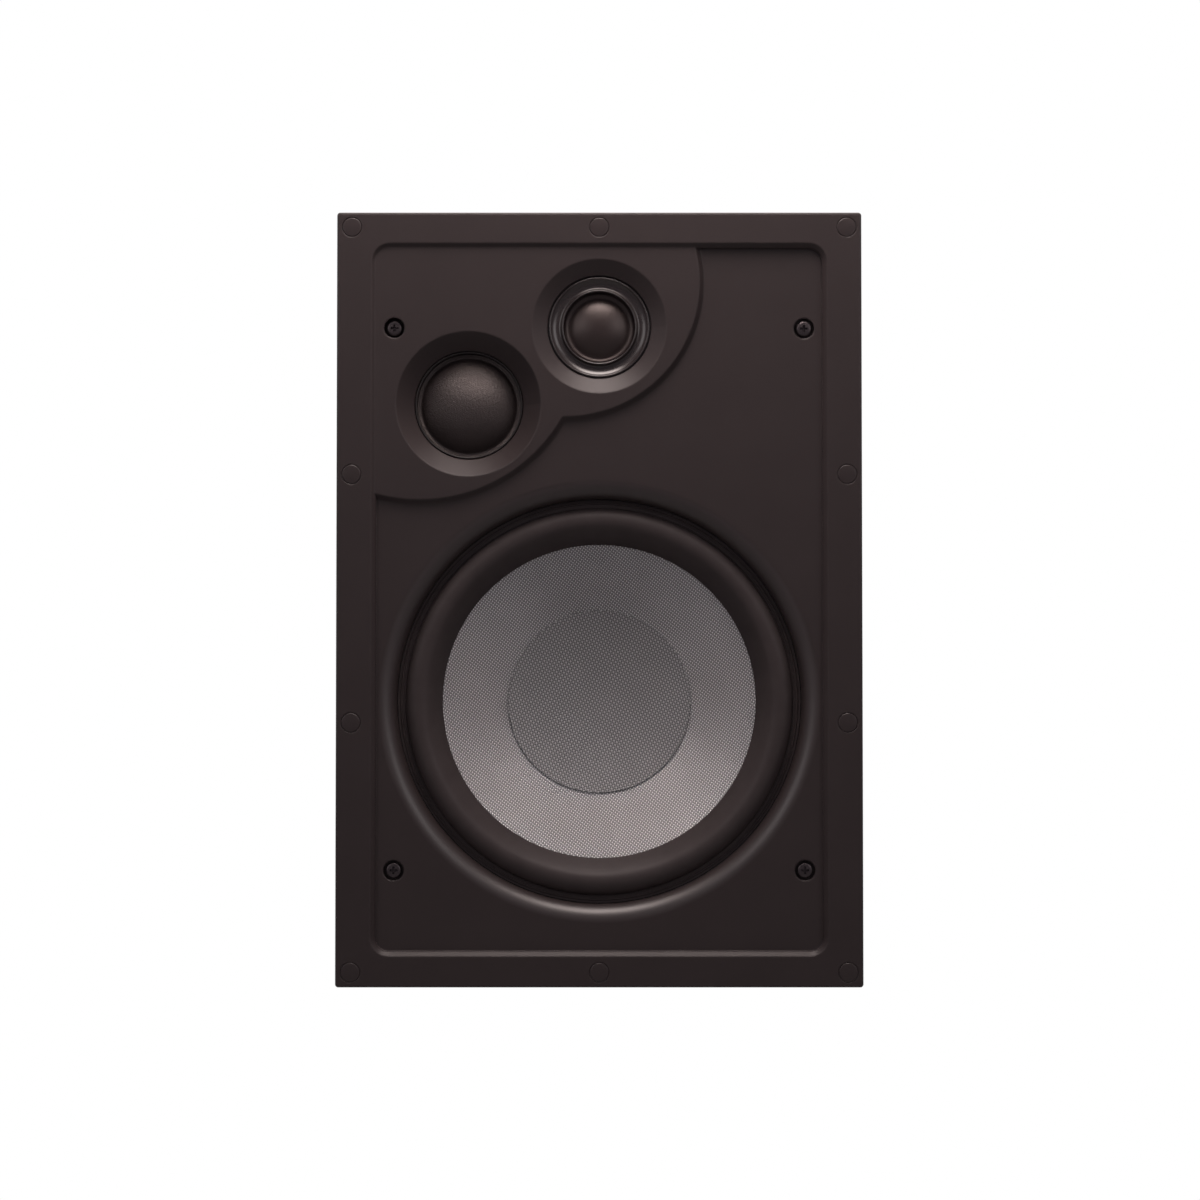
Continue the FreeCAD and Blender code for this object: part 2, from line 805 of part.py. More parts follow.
def baffle_holes(body):
    """Magnet pockets, screw bores and pilot holes."""
    sketch = face_sketch(body, "magnet_pockets")
    for spot in magnet_spots:
        circle(sketch, *spot, dim.magnet_radius + dim.slip_gap)
    pocket(sketch, dim.magnet_thickness - dim.magnet_proud)

    sketch = face_sketch(body, "clamp_bores", dim.pod_depth)
    for side, level in CLAMPS:
        circle(sketch, side * clamp_x, level * clamp_z, dim.clamp_head_radius + dim.clamp_bore_gap)
    pocket(sketch, clamp_seat - dim.pod_depth)

    sketch = face_sketch(body, "clamp_passages", dim.recess_depth)
    for side, level in CLAMPS:
        circle(sketch, side * clamp_x, level * clamp_z, dim.clamp_shank_radius + dim.running_gap)
    pocket(sketch, dim.panel_wall + dim.clamp_boss_depth)

    for name, spots, seat in (
        ("woofer_pilots", woofer_screw_spots, woofer_seat),
        ("midrange_pilots", midrange_screw_spots, midrange_seat),
        ("tweeter_pilots", tweeter_screw_spots, tweeter_seat),
        ("board_pilots", board_holes, board_front),
    ):
        sketch = face_sketch(body, name, seat - dim.screw_grip)
        for spot in spots:
            circle(sketch, *spot, dim.screw_shank_radius)
        pocket(sketch, dim.screw_grip)


def grille_magnets():
    group(
        "grille_magnets",
        [
            cylinder(dim.magnet_radius, dim.magnet_thickness, across, -dim.magnet_proud, up)
            for across, up in magnet_spots
        ],
    )


# Driver screws, each a round head on a plain shank that points to the front
def driver_screws(label, spots, seat, clamped):
    items = []
    for across, up in spots:
        shank = cylinder(
            dim.screw_shank_radius, dim.screw_grip + clamped, across, seat - dim.screw_grip, up
        )
        head = cylinder(dim.screw_head_radius, dim.screw_head_height, across, seat + clamped, up)
        screw = doc.addObject("Part::Fuse", "screw")
        screw.Base = shank
        screw.Tool = head
        items.append(screw)
    group(label, items)


def screw_clearance(body, spots, front, depth):
    """Clearance holes for the driver screws, at spots counted from the body's own axis."""
    sketch = face_sketch(body, "screw_holes", front)
    for across, up in spots:
        circle(sketch, across, up, dim.screw_shank_radius + dim.running_gap)
    pocket(sketch, depth)


# Woofer
cone_slope = dim.cone_depth / (rim_radius - dim.woofer_coil_radius)
former_radius = dim.woofer_coil_radius + dim.former_wall
winding_radius = former_radius + dim.winding_wall
ledge_depth = basket_face + dim.basket_depth
floor_depth = ledge_depth + dim.spider_room
plate_front = floor_depth + dim.basket_wall
plate_back = plate_front + dim.woofer_plate_thickness
magnet_back = plate_back + dim.woofer_magnet_thickness
pole_radius = dim.woofer_coil_radius - dim.woofer_pole_gap
gap_radius = winding_radius + dim.woofer_coil_gap
ledge_outer = dim.spider_radius + dim.spider_ledge
ledge_inner = dim.spider_radius - dim.basket_taper
gap_middle = plate_front + dim.woofer_plate_thickness / 2


def cone_front(radius):
    """The depth of the cone's front face at a radius."""
    return basket_face + (rim_radius - radius) * cone_slope


def woofer_gasket():
    gasket = turned_part(
        "woofer_gasket",
        woofer_centre,
        [
            (mouth_radius, woofer_seat),
            (basket_radius, woofer_seat),
            (basket_radius, basket_face),
            (mouth_radius, basket_face),
        ],
    )
    screw_clearance(gasket, woofer_hole_spots, woofer_seat, dim.gasket_thickness)


def woofer_basket():
    """A pressed frame: flat flange, tapered spokes, spider ledge and motor floor."""
    wall = dim.basket_wall
    body = turned_part(
        "woofer_basket",
        woofer_centre,
        [
            (roll_radius, basket_face),
            (basket_radius, basket_face),
            (basket_radius, basket_face + wall),
            (roll_radius + wall, basket_face + wall),
            (ledge_outer + wall, ledge_depth + wall),
            (ledge_inner + wall, ledge_depth + wall),
            (dim.woofer_plate_radius + wall, floor_depth + wall),
            (gap_radius, floor_depth + wall),
            (gap_radius, floor_depth),
            (dim.woofer_plate_radius, floor_depth),
            (ledge_inner, ledge_depth),
            (ledge_outer, ledge_depth),
        ],
    )
    screw_clearance(body, woofer_hole_spots, basket_face, wall)
    cut_windows(body)


def cut_windows(body):
    """One window between two spokes, repeated round the basket."""
    inner = ledge_outer + dim.window_rim
    outer = roll_radius - dim.window_rim
    half_spoke = dim.spoke_width / 2
    turn = math.pi / BASKET_SPOKES
    # each side of the window runs along the flank of a spoke
    low_inner = long_leg(inner, half_spoke)
    low_outer = long_leg(outer, half_spoke)

    def beside(along, flank):
        """A spot at one flank of the spoke on the right, or of the next one."""
        cosine = math.cos(2 * turn)
        sine = math.sin(2 * turn)
        if flank == "first":
            return (along, half_spoke)
        return (along * cosine + half_spoke * sine, along * sine - half_spoke * cosine)

    sketch = face_sketch(body, "window", basket_face + dim.basket_wall)
    outline(
        sketch,
        [
            beside(low_inner, "first"),
            (*beside(low_outer, "first"), outer, "left"),
            beside(low_outer, "next"),
            (*beside(low_inner, "next"), inner, "right"),
        ],
    )
    window = pocket(sketch, dim.basket_depth - dim.basket_wall)
    pattern = body.newObject("PartDesign::PolarPattern", "basket_windows")
    pattern.Originals = [window]
    pattern.Axis = (sketch, ["N_Axis"])
    pattern.Angle = 360
    pattern.Occurrences = BASKET_SPOKES
    body.Tip = pattern
    doc.recompute()


def woofer_surround():
    """A lip on the cone's slope and a flat outer lip, joined by a half roll that stands forward."""
    wall = dim.surround_wall
    half = dim.surround_roll / 2
    front = basket_face - wall
    outer_arc = cap_radius(half, dim.surround_rise)
    inner_arc = cap_radius(half - wall, dim.surround_rise - wall)
    turned_part(
        "woofer_surround",
        woofer_centre,
        [
            (dim.cone_radius, cone_front(dim.cone_radius) - wall),
            (rim_radius, front, outer_arc, "left"),
            (roll_radius, front),
            (lip_radius, front),
            (lip_radius, basket_face),
            (roll_radius, basket_face),
            (roll_radius - wall, basket_face - wall, inner_arc, "right"),
            (rim_radius + wall, basket_face - wall),
            (rim_radius, basket_face),
            (dim.cone_radius, cone_front(dim.cone_radius)),
        ],
    )


def woofer_cone():
    wall = dim.cone_wall
    neck = former_radius
    turned_part(
        "woofer_cone",
        woofer_centre,
        [
            (rim_radius, basket_face),
            (rim_radius, basket_face + wall),
            (neck, cone_front(neck) + wall),
            (neck, cone_front(neck)),
        ],
    )


def woofer_dust_cap():
    """A shallow dish that rests on the cone by its rim."""
    wall = dim.cap_wall
    rim = cone_front(dim.cap_radius)
    inner = dim.cap_radius - wall / cone_slope
    front_arc = cap_radius(dim.cap_radius, dim.cap_dish)
    back_arc = cap_radius(inner, dim.cap_dish)
    turned_part(
        "woofer_dust_cap",
        woofer_centre,
        [
            (0, rim - wall + dim.cap_dish, front_arc, "left"),
            (dim.cap_radius, rim - wall),
            (dim.cap_radius, rim),
            (inner, cone_front(inner), back_arc, "right"),
            (0, cone_front(inner) + dim.cap_dish),
        ],
    )


def former_start():
    return cone_front(former_radius) - dim.cone_wall


def woofer_coil_former():
    front = former_start()
    turned_part(
        "woofer_coil_former",
        woofer_centre,
        [
            (dim.woofer_coil_radius, front),
            (former_radius, front),
            (former_radius, front + dim.former_length),
            (dim.woofer_coil_radius, front + dim.former_length),
        ],
    )


def woofer_voice_coil():
    half = dim.winding_length / 2
    turned_part(
        "woofer_voice_coil",
        woofer_centre,
        [
            (former_radius, gap_middle - half),
            (winding_radius, gap_middle - half),
            (winding_radius, gap_middle + half),
            (former_radius, gap_middle + half),
        ],
    )


def woofer_spider():
    """A zigzag disc between the former and the basket's ledge."""
    wall = dim.spider_wall
    inner = former_radius + dim.running_gap
    seat = ledge_depth - wall
    step = (ledge_inner - inner) / (2 * SPIDER_WAVES)
    front = [(inner, seat)]
    for wave in range(SPIDER_WAVES):
        front.append((inner + step * (2 * wave + 1), seat - dim.spider_wave))
        front.append((inner + step * (2 * wave + 2), seat))
    front.append((ledge_outer - dim.running_gap, seat))
    back = [(radius, depth + wall) for radius, depth in reversed(front)]
    turned_part("woofer_spider", woofer_centre, front + back)


def ring(label, centre, inner, outer, front, back):
    turned_part(label, centre, [(inner, front), (outer, front), (outer, back), (inner, back)])


def woofer_yoke():
    """The back plate and its vented pole, turned as one."""
    back = magnet_back + dim.woofer_back_plate
    turned_part(
        "woofer_yoke",
        woofer_centre,
        [
            (dim.woofer_vent_radius, plate_front),
            (pole_radius, plate_front),
            (pole_radius, magnet_back),
            (dim.woofer_plate_radius, magnet_back),
            (dim.woofer_plate_radius, back),
            (dim.woofer_vent_radius, back),
        ],
    )


def woofer():
    woofer_gasket()
    woofer_basket()
    woofer_surround()
    woofer_cone()
    woofer_dust_cap()
    woofer_coil_former()
    woofer_voice_coil()
    woofer_spider()
    ring(
        "woofer_top_plate", woofer_centre, gap_radius, dim.woofer_plate_radius, plate_front, plate_back
    )
    magnet_bore = winding_radius + dim.woofer_coil_gap + dim.winding_wall
    ring(
        "woofer_magnet", woofer_centre, magnet_bore, dim.woofer_magnet_radius, plate_back, magnet_back
    )
    woofer_yoke()
    driver_screws(
        "woofer_screws", woofer_screw_spots, woofer_seat, dim.gasket_thickness + dim.basket_wall
    )


# Soft-dome drivers: both are a dome, coil, pole plate, disc magnet, cup yoke and rear chamber
def soft_dome(name, centre, size, lip_depth):
    """Build one dome and its motor behind a lip that sits at a depth."""
    wall = dim.dome_wall
    rest = lip_depth + wall
    seat_in = size.dome_radius - dim.dome_seat
    roll_end = size.dome_radius + size.roll
    roll_top = size.dome_radius + size.roll / 2
    dome_arc = cap_radius(seat_in, size.dome_height)
    turned_part(
        f"{name}_dome",
        centre,
        [
            (0, lip_depth - size.dome_height, dome_arc, "left"),
            (seat_in, lip_depth),
            (size.dome_radius, lip_depth),
            (roll_top, lip_depth - size.roll_rise),
            (roll_end, lip_depth),
            (roll_end + size.rim, lip_depth),
            (roll_end + size.rim, rest),
            (roll_end, rest),
            (roll_top, rest - size.roll_rise),
            (size.dome_radius, rest),
            (seat_in, rest, dome_arc, "right"),
            (0, rest - size.dome_height),
        ],
    )
    coil_out = size.dome_radius
    coil_in = coil_out - dim.dome_coil_wall
    ring(f"{name}_voice_coil", centre, coil_in, coil_out, rest, rest + size.coil_length)
    pole = coil_in - dim.dome_pole_gap
    well = coil_out + dim.dome_motor_gap
    plate = rest + dim.dome_pole_gap
    vent = dim.dome_vent_radius
    magnet = plate + size.plate_thickness
    floor = magnet + size.magnet_thickness
    back = floor + size.yoke_floor
    ring(f"{name}_pole_plate", centre, vent, pole, plate, magnet)
    ring(f"{name}_magnet", centre, vent, size.magnet_radius, magnet, floor)
    outer = well + size.yoke_wall
    flange = size.yoke_flange
    flange_back = rest + size.flange_thickness
    turned_part(
        f"{name}_yoke",
        centre,
        [
            (well, rest),
            (flange, rest),
            (flange, flange_back),
            (outer, flange_back),
            (outer, back),
            (vent, back),
            (vent, floor),
            (well, floor),
        ],
    )
    chamber_back = back + size.chamber_depth
    skin = dim.chamber_wall
    turned_part(
        f"{name}_rear_chamber",
        centre,
        [
            (size.chamber_radius - skin, back),
            (size.chamber_radius, back),
            (size.chamber_radius, chamber_back),
            (0, chamber_back),
            (0, chamber_back - skin),
            (size.chamber_radius - skin, chamber_back - skin),
        ],
    )


def dome_sizes(name):
    """The sheet's sizes for one of the two domes, without its name in front."""
    prefix = f"{name}_"
    return {key[len(prefix):]: value for key, value in vars(dim).items() if key.startswith(prefix)}


def midrange():
    bead_outer = dim.midrange_hole_radius - dim.running_gap
    bead_inner = bead_outer - dim.midrange_bead_width
    bead_arc = cap_radius(dim.midrange_bead_width / 2, dim.midrange_bead_crown)
    bead_depth = dim.pod_depth + dim.midrange_bevel_depth + dim.midrange_bead_crown
    frame_back = midrange_seat + dim.midrange_frame_depth
    lip_depth = frame_back - dim.dome_wall
    roll_end = dim.midrange_dome_radius + dim.midrange_roll
    lip_end = roll_end + dim.midrange_rim + dim.running_gap
    flange_thickness = dim.midrange_land
    frame = turned_part(
        "midrange_frame",
        midrange_centre,
        [
            (bead_inner, bead_depth, bead_arc, "left"),
            (bead_outer, bead_depth),
            (bead_outer, midrange_seat),
            (midrange_flange_radius, midrange_seat),
            (midrange_flange_radius, frame_back),
            (lip_end, frame_back),
            (lip_end, lip_depth),
            (roll_end + dim.running_gap, lip_depth),
        ],
    )
    screw_clearance(frame, midrange_hole_spots, midrange_seat, dim.midrange_frame_depth)
    sizes = SimpleNamespace(
        **dome_sizes("midrange"),
        yoke_flange=midrange_flange_radius,
        flange_thickness=flange_thickness,
    )
    soft_dome("midrange", midrange_centre, sizes, lip_depth)
    yoke = next(item for item in nodes if item.Label == "midrange_yoke")
    screw_clearance(yoke, midrange_hole_spots, frame_back, flange_thickness)
    driver_screws(
        "midrange_screws", midrange_screw_spots, midrange_seat, dim.midrange_frame_depth + flange_thickness
    )


def tweeter():
    bore = dim.tweeter_dome_radius + dim.tweeter_roll
    boss = dim.tweeter_hole_radius - dim.tweeter_boss_gap
    trough_outer = boss - dim.tweeter_rim_width
    trough_inner = bore + dim.tweeter_lip_width
    brow = dim.pod_depth + dim.tweeter_bevel_depth + dim.tweeter_rim_setback + dim.tweeter_crown
    rim_arc = cap_radius(dim.tweeter_rim_width / 2, dim.tweeter_crown)
    lip_arc = cap_radius(dim.tweeter_lip_width / 2, dim.tweeter_crown)
    trough_arc = cap_radius((trough_outer - trough_inner) / 2, dim.tweeter_trough_depth)
    plate_rear = tweeter_seat + dim.tweeter_plate_depth
    faceplate = turned_part(
        "tweeter_faceplate",
        tweeter_centre,
        [
            (bore, brow, lip_arc, "left"),
            (trough_inner, brow, trough_arc, "right"),
            (trough_outer, brow, rim_arc, "left"),
            (boss, brow),
            (boss, tweeter_seat),
            (tweeter_flange_radius, tweeter_seat),
            (tweeter_flange_radius, plate_rear),
            (bore, plate_rear),
        ],
    )
    screw_clearance(faceplate, tweeter_hole_spots, tweeter_seat, dim.tweeter_plate_depth)
    yoke_outer = dim.tweeter_dome_radius + dim.dome_motor_gap + dim.tweeter_yoke_wall
    sizes = SimpleNamespace(
        **dome_sizes("tweeter"),
        yoke_flange=yoke_outer + dim.slip_gap,
        flange_thickness=dim.tweeter_plate_depth,
    )
    soft_dome("tweeter", tweeter_centre, sizes, plate_rear)
    driver_screws("tweeter_screws", tweeter_screw_spots, tweeter_seat, dim.tweeter_plate_depth)


# Wall clamps: a captive screw draws a nut forward, and the arm on the nut swings out over the wall board
def clamp_screw(label, side, level):
    body = new_body(label, side * clamp_x, level * clamp_z)
    head_front = clamp_seat - dim.clamp_head_height
    crown = cap_radius(dim.clamp_head_radius, dim.clamp_head_height / 2)
    tip = hub_back + dim.nut_flange + dim.clamp_tail
    sketch = side_sketch(body, "section")
    outline(
        sketch,
        [
            (0, head_front, crown, "left"),
            (dim.clamp_head_radius, head_front + dim.clamp_head_height / 2),
            (dim.clamp_head_radius, clamp_seat),
            (dim.clamp_shank_radius, clamp_seat),
            (dim.clamp_shank_radius, tip - dim.clamp_shank_radius),
            (0, tip),
        ],
    )
    turned(sketch, "Revolution")
    sketch = face_sketch(body, "cross", head_front)
    half = dim.cross_width / 2
    reach = dim.cross_length / 2
    outline(
        sketch,
        [
            (-half, -reach),
            (half, -reach),
            (half, -half),
            (reach, -half),
            (reach, half),
            (half, half),
            (half, reach),
            (-half, reach),
            (-half, half),
            (-reach, half),
            (-reach, -half),
            (-half, -half),
        ],
    )
    pocket(sketch, dim.cross_depth)


def clamp_nut(label, side, level):
    flange = dim.clamp_shank_radius + dim.nut_flange_wall
    bore = dim.clamp_shank_radius + dim.slip_gap
    turned_part(
        label,
        (side * clamp_x, level * clamp_z),
        [
            (bore, hub_front),
            (nut_radius, hub_front),
            (nut_radius, hub_back + dim.slip_gap),
            (flange, hub_back + dim.slip_gap),
            (flange, hub_back + dim.nut_flange),
            (bore, hub_back + dim.nut_flange),
        ],
    )


def clamp_arm(label, side, level):
    """A hub with a flat arm and a toothed foot at its end. The arm points up, or down on the left."""
    body = new_body(label, side * clamp_x, level * clamp_z, side < 0)
    half = dim.arm_width / 2
    shoulder = dim.arm_length - half

    sketch = face_sketch(body, "hub", hub_front)
    circle(sketch, 0, 0, hub_radius)
    pad(sketch, dim.hub_length)

    round_end = [(half, shoulder, half, "left"), (0, dim.arm_length, half, "left"), (-half, shoulder)]

    sketch = face_sketch(body, "arm", hub_back - dim.arm_thickness)
    outline(sketch, [(-half, 0), (half, 0)] + round_end)
    pad(sketch, dim.arm_thickness)

    foot = dim.arm_length - dim.foot_length
    sketch = face_sketch(body, "foot", hub_front)
    outline(sketch, [(-half, foot), (half, foot)] + round_end)
    pad(sketch, dim.hub_length - dim.arm_thickness)

    step = (dim.foot_length - half) / FOOT_TEETH
    sketch = face_sketch(body, "teeth", hub_front)
    for tooth in range(FOOT_TEETH):
        low = foot + step * (tooth + 0.25)
        rectangle(sketch, -half - dim.rib_gap, half + dim.rib_gap, low, low + step / 2)
    pocket(sketch, dim.tooth_depth)

    sketch = face_sketch(body, "bore", hub_front)
    circle(sketch, 0, 0, nut_radius + dim.slip_gap)
    pocket(sketch, dim.hub_length)


def clamps():
    for number, (side, level) in enumerate(CLAMPS, start=1):
        clamp_screw(f"clamp_screw_{number}", side, level)
        clamp_nut(f"clamp_nut_{number}", side, level)
        clamp_arm(f"clamp_arm_{number}", side, level)


# Crossover: parts stand on the back of the board, in rows below the woofer's inductor
bobbin_up = board_top - dim.bobbin_radius - dim.part_gap
board_middle = board_left + dim.board_width / 2
coil_row = bobbin_up - dim.bobbin_radius - dim.part_gap - dim.large_coil_radius
large_coil_x = board_left + dim.part_gap + dim.large_coil_radius
small_coil_x = board_right - dim.part_gap - dim.small_coil_radius
terminal_bottom = board_bottom + dim.part_gap / 2
terminal_back = board_back + dim.terminal_depth
capacitor_row = terminal_bottom + dim.terminal_height + dim.part_gap / 4


def crossover_board():
    body = new_body("crossover_board")
    sketch = face_sketch(body, "board", board_front)
    rectangle(sketch, board_left, board_right, board_bottom, board_top)
    for spot in board_holes:
        circle(sketch, *spot, dim.screw_shank_radius + dim.running_gap)
    pad(sketch, dim.board_thickness)
    driver_screws("crossover_screws", board_holes, board_front, dim.board_thickness)


def woofer_inductor():
    back = board_back + dim.bobbin_height
    inner_front = board_back + dim.bobbin_flange
    inner_back = back - dim.bobbin_flange
    turned_part(
        "woofer_inductor_bobbin",
        (board_middle, bobbin_up),
        [
            (dim.bobbin_bore, board_back),
            (dim.bobbin_radius, board_back),
            (dim.bobbin_radius, inner_front),
            (dim.bobbin_core, inner_front),
            (dim.bobbin_core, inner_back),
            (dim.bobbin_radius, inner_back),
            (dim.bobbin_radius, back),
            (dim.bobbin_bore, back),
        ],
    )
    ring(
        "woofer_inductor_winding",
        (board_middle, bobbin_up),
        dim.bobbin_core,
        dim.bobbin_radius - dim.bobbin_inset,
        inner_front,
        inner_back,
    )


def crossover_parts():
    ring(
        "midrange_inductor_winding",
        (large_coil_x, coil_row),
        dim.coil_bore,
        dim.large_coil_radius,
        board_back,
        board_back + dim.large_coil_height,
    )
    ring(
        "tweeter_inductor_winding",
        (small_coil_x, coil_row),
        dim.coil_bore,
        dim.small_coil_radius,
        board_back,
        board_back + dim.small_coil_height,
    )
    cap_pitch = 2 * dim.capacitor_radius + dim.part_gap / 2
    first_cap = board_left + dim.part_gap / 2 + dim.capacitor_radius
    group(
        "crossover_capacitors",
        [
            upright_cylinder(
                dim.capacitor_radius,
                dim.capacitor_length,
                first_cap + cap_pitch * index,
                board_back + dim.capacitor_radius,
                capacitor_row,
            )
            for index in range(2)
        ],
    )
    first_resistor = first_cap + cap_pitch * 2 - dim.capacitor_radius
    resistor_pitch = dim.resistor_width + dim.part_gap
    group(
        "crossover_resistors",
        [
            block(
                dim.resistor_width,
                dim.resistor_width,
                dim.resistor_length,
                first_resistor + resistor_pitch * index,
                board_back,
                capacitor_row,
            )
            for index in range(2)
        ],
    )


def terminals():
    """A moulded block with two wells, and a sprung cap on a stem in each."""
    centre_z = terminal_bottom + dim.terminal_height / 2
    well_front = terminal_back - dim.terminal_well_depth
    body = new_body("terminal_block", board_middle, centre_z)
    half_width = dim.terminal_width / 2
    half_height = dim.terminal_height / 2
    sketch = face_sketch(body, "block", board_back)
    rectangle(sketch, -half_width, half_width, -half_height, half_height)
    pad(sketch, dim.terminal_depth)
    offsets = (dim.terminal_pitch / 2, -dim.terminal_pitch / 2)

    sketch = face_sketch(body, "wells", well_front)
    for across in offsets:
        circle(sketch, across, 0, dim.terminal_cap_radius + dim.running_gap)
    pocket(sketch, dim.terminal_well_depth)

    sketch = face_sketch(body, "guides", board_back)
    for across in offsets:
        circle(sketch, across, 0, dim.terminal_stem_radius + dim.running_gap)
    pocket(sketch, dim.terminal_depth - dim.terminal_well_depth)

    sketch = new_sketch(body, "XY_Plane", "wire_holes", (0, 0, -half_height))
    for across in offsets:
        circle(sketch, across, (board_back + well_front) / 2, dim.terminal_wire_radius)
    pocket(sketch, half_height, upward=True)

    cap_back = terminal_back + dim.terminal_stroke
    cap_front = cap_back - dim.terminal_cap_height
    stem_front = board_back + dim.terminal_stroke + dim.running_gap
    for label, across in zip(("terminal_cap_positive", "terminal_cap_negative"), offsets):
        turned_part(
            label,
            (board_middle + across, centre_z),
            [
                (0, stem_front),
                (dim.terminal_stem_radius, stem_front),
                (dim.terminal_stem_radius, cap_front),
                (dim.terminal_cap_radius, cap_front),
                (dim.terminal_cap_radius, cap_back),
                (0, cap_back),
            ],
        )


def check_model():
    """Stop if any object of the document failed."""
    for item in doc.Objects:
        if "Invalid" in item.State or "Error" in item.State:
            raise RuntimeError(f"{item.Label} did not build: {item.State}")
    for item in nodes:
        if item.Shape.isNull() or not item.Shape.isValid() or item.Shape.Volume <= 0:
            raise RuntimeError(f"{item.Label} has no sound shape")


def write_nodes():
    os.makedirs("parts", exist_ok=True)
    for item in nodes:
        item.Shape.exportStep(f"parts/{item.Label}.step")


front_baffle()
grille_magnets()
woofer()
midrange()
tweeter()
clamps()
crossover_board()
woofer_inductor()
crossover_parts()
terminals()
doc.recompute()
check_model()
write_nodes()
print(f"{len(nodes)} nodes written")
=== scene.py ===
import math

import bmesh
import bpy
from mathutils import Matrix, Vector


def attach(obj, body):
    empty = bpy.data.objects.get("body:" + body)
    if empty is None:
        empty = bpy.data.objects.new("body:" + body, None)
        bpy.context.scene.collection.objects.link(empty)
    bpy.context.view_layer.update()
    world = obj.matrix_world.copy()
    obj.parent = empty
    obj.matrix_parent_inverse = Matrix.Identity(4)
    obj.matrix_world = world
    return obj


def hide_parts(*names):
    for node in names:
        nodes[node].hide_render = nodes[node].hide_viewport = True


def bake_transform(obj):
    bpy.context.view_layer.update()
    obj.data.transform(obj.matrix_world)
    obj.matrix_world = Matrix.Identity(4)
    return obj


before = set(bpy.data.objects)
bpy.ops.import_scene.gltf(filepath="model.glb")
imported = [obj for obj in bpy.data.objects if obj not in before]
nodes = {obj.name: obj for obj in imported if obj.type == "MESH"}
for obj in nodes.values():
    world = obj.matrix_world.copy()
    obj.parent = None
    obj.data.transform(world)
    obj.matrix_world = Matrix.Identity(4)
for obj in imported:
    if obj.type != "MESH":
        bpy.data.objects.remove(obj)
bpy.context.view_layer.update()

scene = bpy.context.scene
scene.view_settings.view_transform = "Standard"
mm = 0.001
bezelDepth = 5.0  # depths below count back from the bezel's front, the frame's origin lies on its back
wooferCentre = (0.0, -48.1)
print("frame loaded,", len(nodes), "nodes")


# small helpers

def linear(hexText):
    channels = [int(hexText[i:i + 2], 16) / 255 for i in (1, 3, 5)]
    return tuple(c / 12.92 if c <= 0.04045 else ((c + 0.055) / 1.055) ** 2.4 for c in channels) + (1.0,)


def addNode(tree, kind, settings=None, links=None):
    made = tree.nodes.new(kind)
    for key, value in (settings or {}).items():
        if isinstance(key, int) or key[0].isupper():
            made.inputs[key].default_value = value
        else:
            setattr(made, key, value)
    for key, source in (links or {}).items():
        tree.links.new(made.inputs[key], source)
    return made


def startMaterial(name):
    made = bpy.data.materials.new(name)
    made.use_nodes = True
    tree = made.node_tree
    place = addNode(tree, "ShaderNodeTexCoord").outputs["Object"]
    return made, tree, tree.nodes["Principled BSDF"], place


def perMetre(size):
    return 1 / (size * mm)  # a pattern's scale from its size in millimetres


def back(depth):
    return (depth - bezelDepth) * mm


def arcRadius(half, rise):
    return (half ** 2 + rise ** 2) / (2 * rise)  # of an arc that rises so far over half its chord


def dressNodes(material, *names):
    for name in names:
        nodes[name].data.materials.clear()
        nodes[name].data.materials.append(material)


def makePiece(name, bm, material, body, replaces=(), sharp=35):
    mesh = bpy.data.meshes.new(name)
    bm.to_mesh(mesh)
    bm.free()
    mesh.materials.append(material)
    mesh.polygons.foreach_set("use_smooth", [True] * len(mesh.polygons))
    mesh.set_sharp_from_angle(angle=math.radians(sharp))
    piece = bpy.data.objects.new(name, mesh)
    scene.collection.objects.link(piece)
    if body:
        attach(piece, body)
    if replaces:
        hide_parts(*replaces)
    return piece


def vertsOf(geom):
    return [part for part in geom if isinstance(part, bmesh.types.BMVert)]


def edgesOf(geom):
    return [part for part in geom if isinstance(part, bmesh.types.BMEdge)]


# a profile is drawn as radius and depth in mm: a pair is a straight run to a point,
# four numbers are an arc about a centre, its degrees and its segments
def drawProfile(bm, start, path, closed=False):
    first = last = bm.verts.new((start[0] * mm, back(start[1]), 0))
    for step in path:
        if len(step) == 2:
            last = bmesh.ops.extrude_vert_indiv(bm, verts=[last])["verts"][0]
            last.co = (step[0] * mm, back(step[1]), 0)
        else:
            turned = bmesh.ops.spin(
                bm, geom=[last], cent=(step[0] * mm, back(step[1]), 0), axis=(0, 0, 1),
                angle=math.radians(step[2]), steps=step[3])
            last = vertsOf(turned["geom_last"])[0]
    if closed:
        bm.edges.new((last, first))


def spread(bm, spots):
    # copies what is drawn round the origin to each spot
    shape = bm.verts[:] + bm.edges[:] + bm.faces[:]
    for spot in spots[1:]:
        copied = bmesh.ops.duplicate(bm, geom=shape)["geom"]
        bmesh.ops.translate(bm, verts=vertsOf(copied), vec=(spot[0] * mm, 0, spot[1] * mm))
    bmesh.ops.translate(bm, verts=vertsOf(shape), vec=(spots[0][0] * mm, 0, spots[0][1] * mm))


def turnProfile(bm, *spots, steps=128):
    bmesh.ops.spin(
        bm, geom=bm.verts[:] + bm.edges[:], cent=(0, 0, 0), axis=(0, 1, 0),
        angle=math.tau, steps=steps, use_merge=True)
    bmesh.ops.remove_doubles(bm, verts=bm.verts, dist=1e-6)
    bmesh.ops.recalc_face_normals(bm, faces=bm.faces)
    if spots:
        spread(bm, spots)


def spotsRound(centre, radius, count, start):
    turns = [math.radians(start + 360 * index / count) for index in range(count)]
    return [(centre[0] + radius * math.cos(turn), centre[1] + radius * math.sin(turn)) for turn in turns]


# studio: pale floor well below the part, light banks overhead and at the sides, grey card under the front

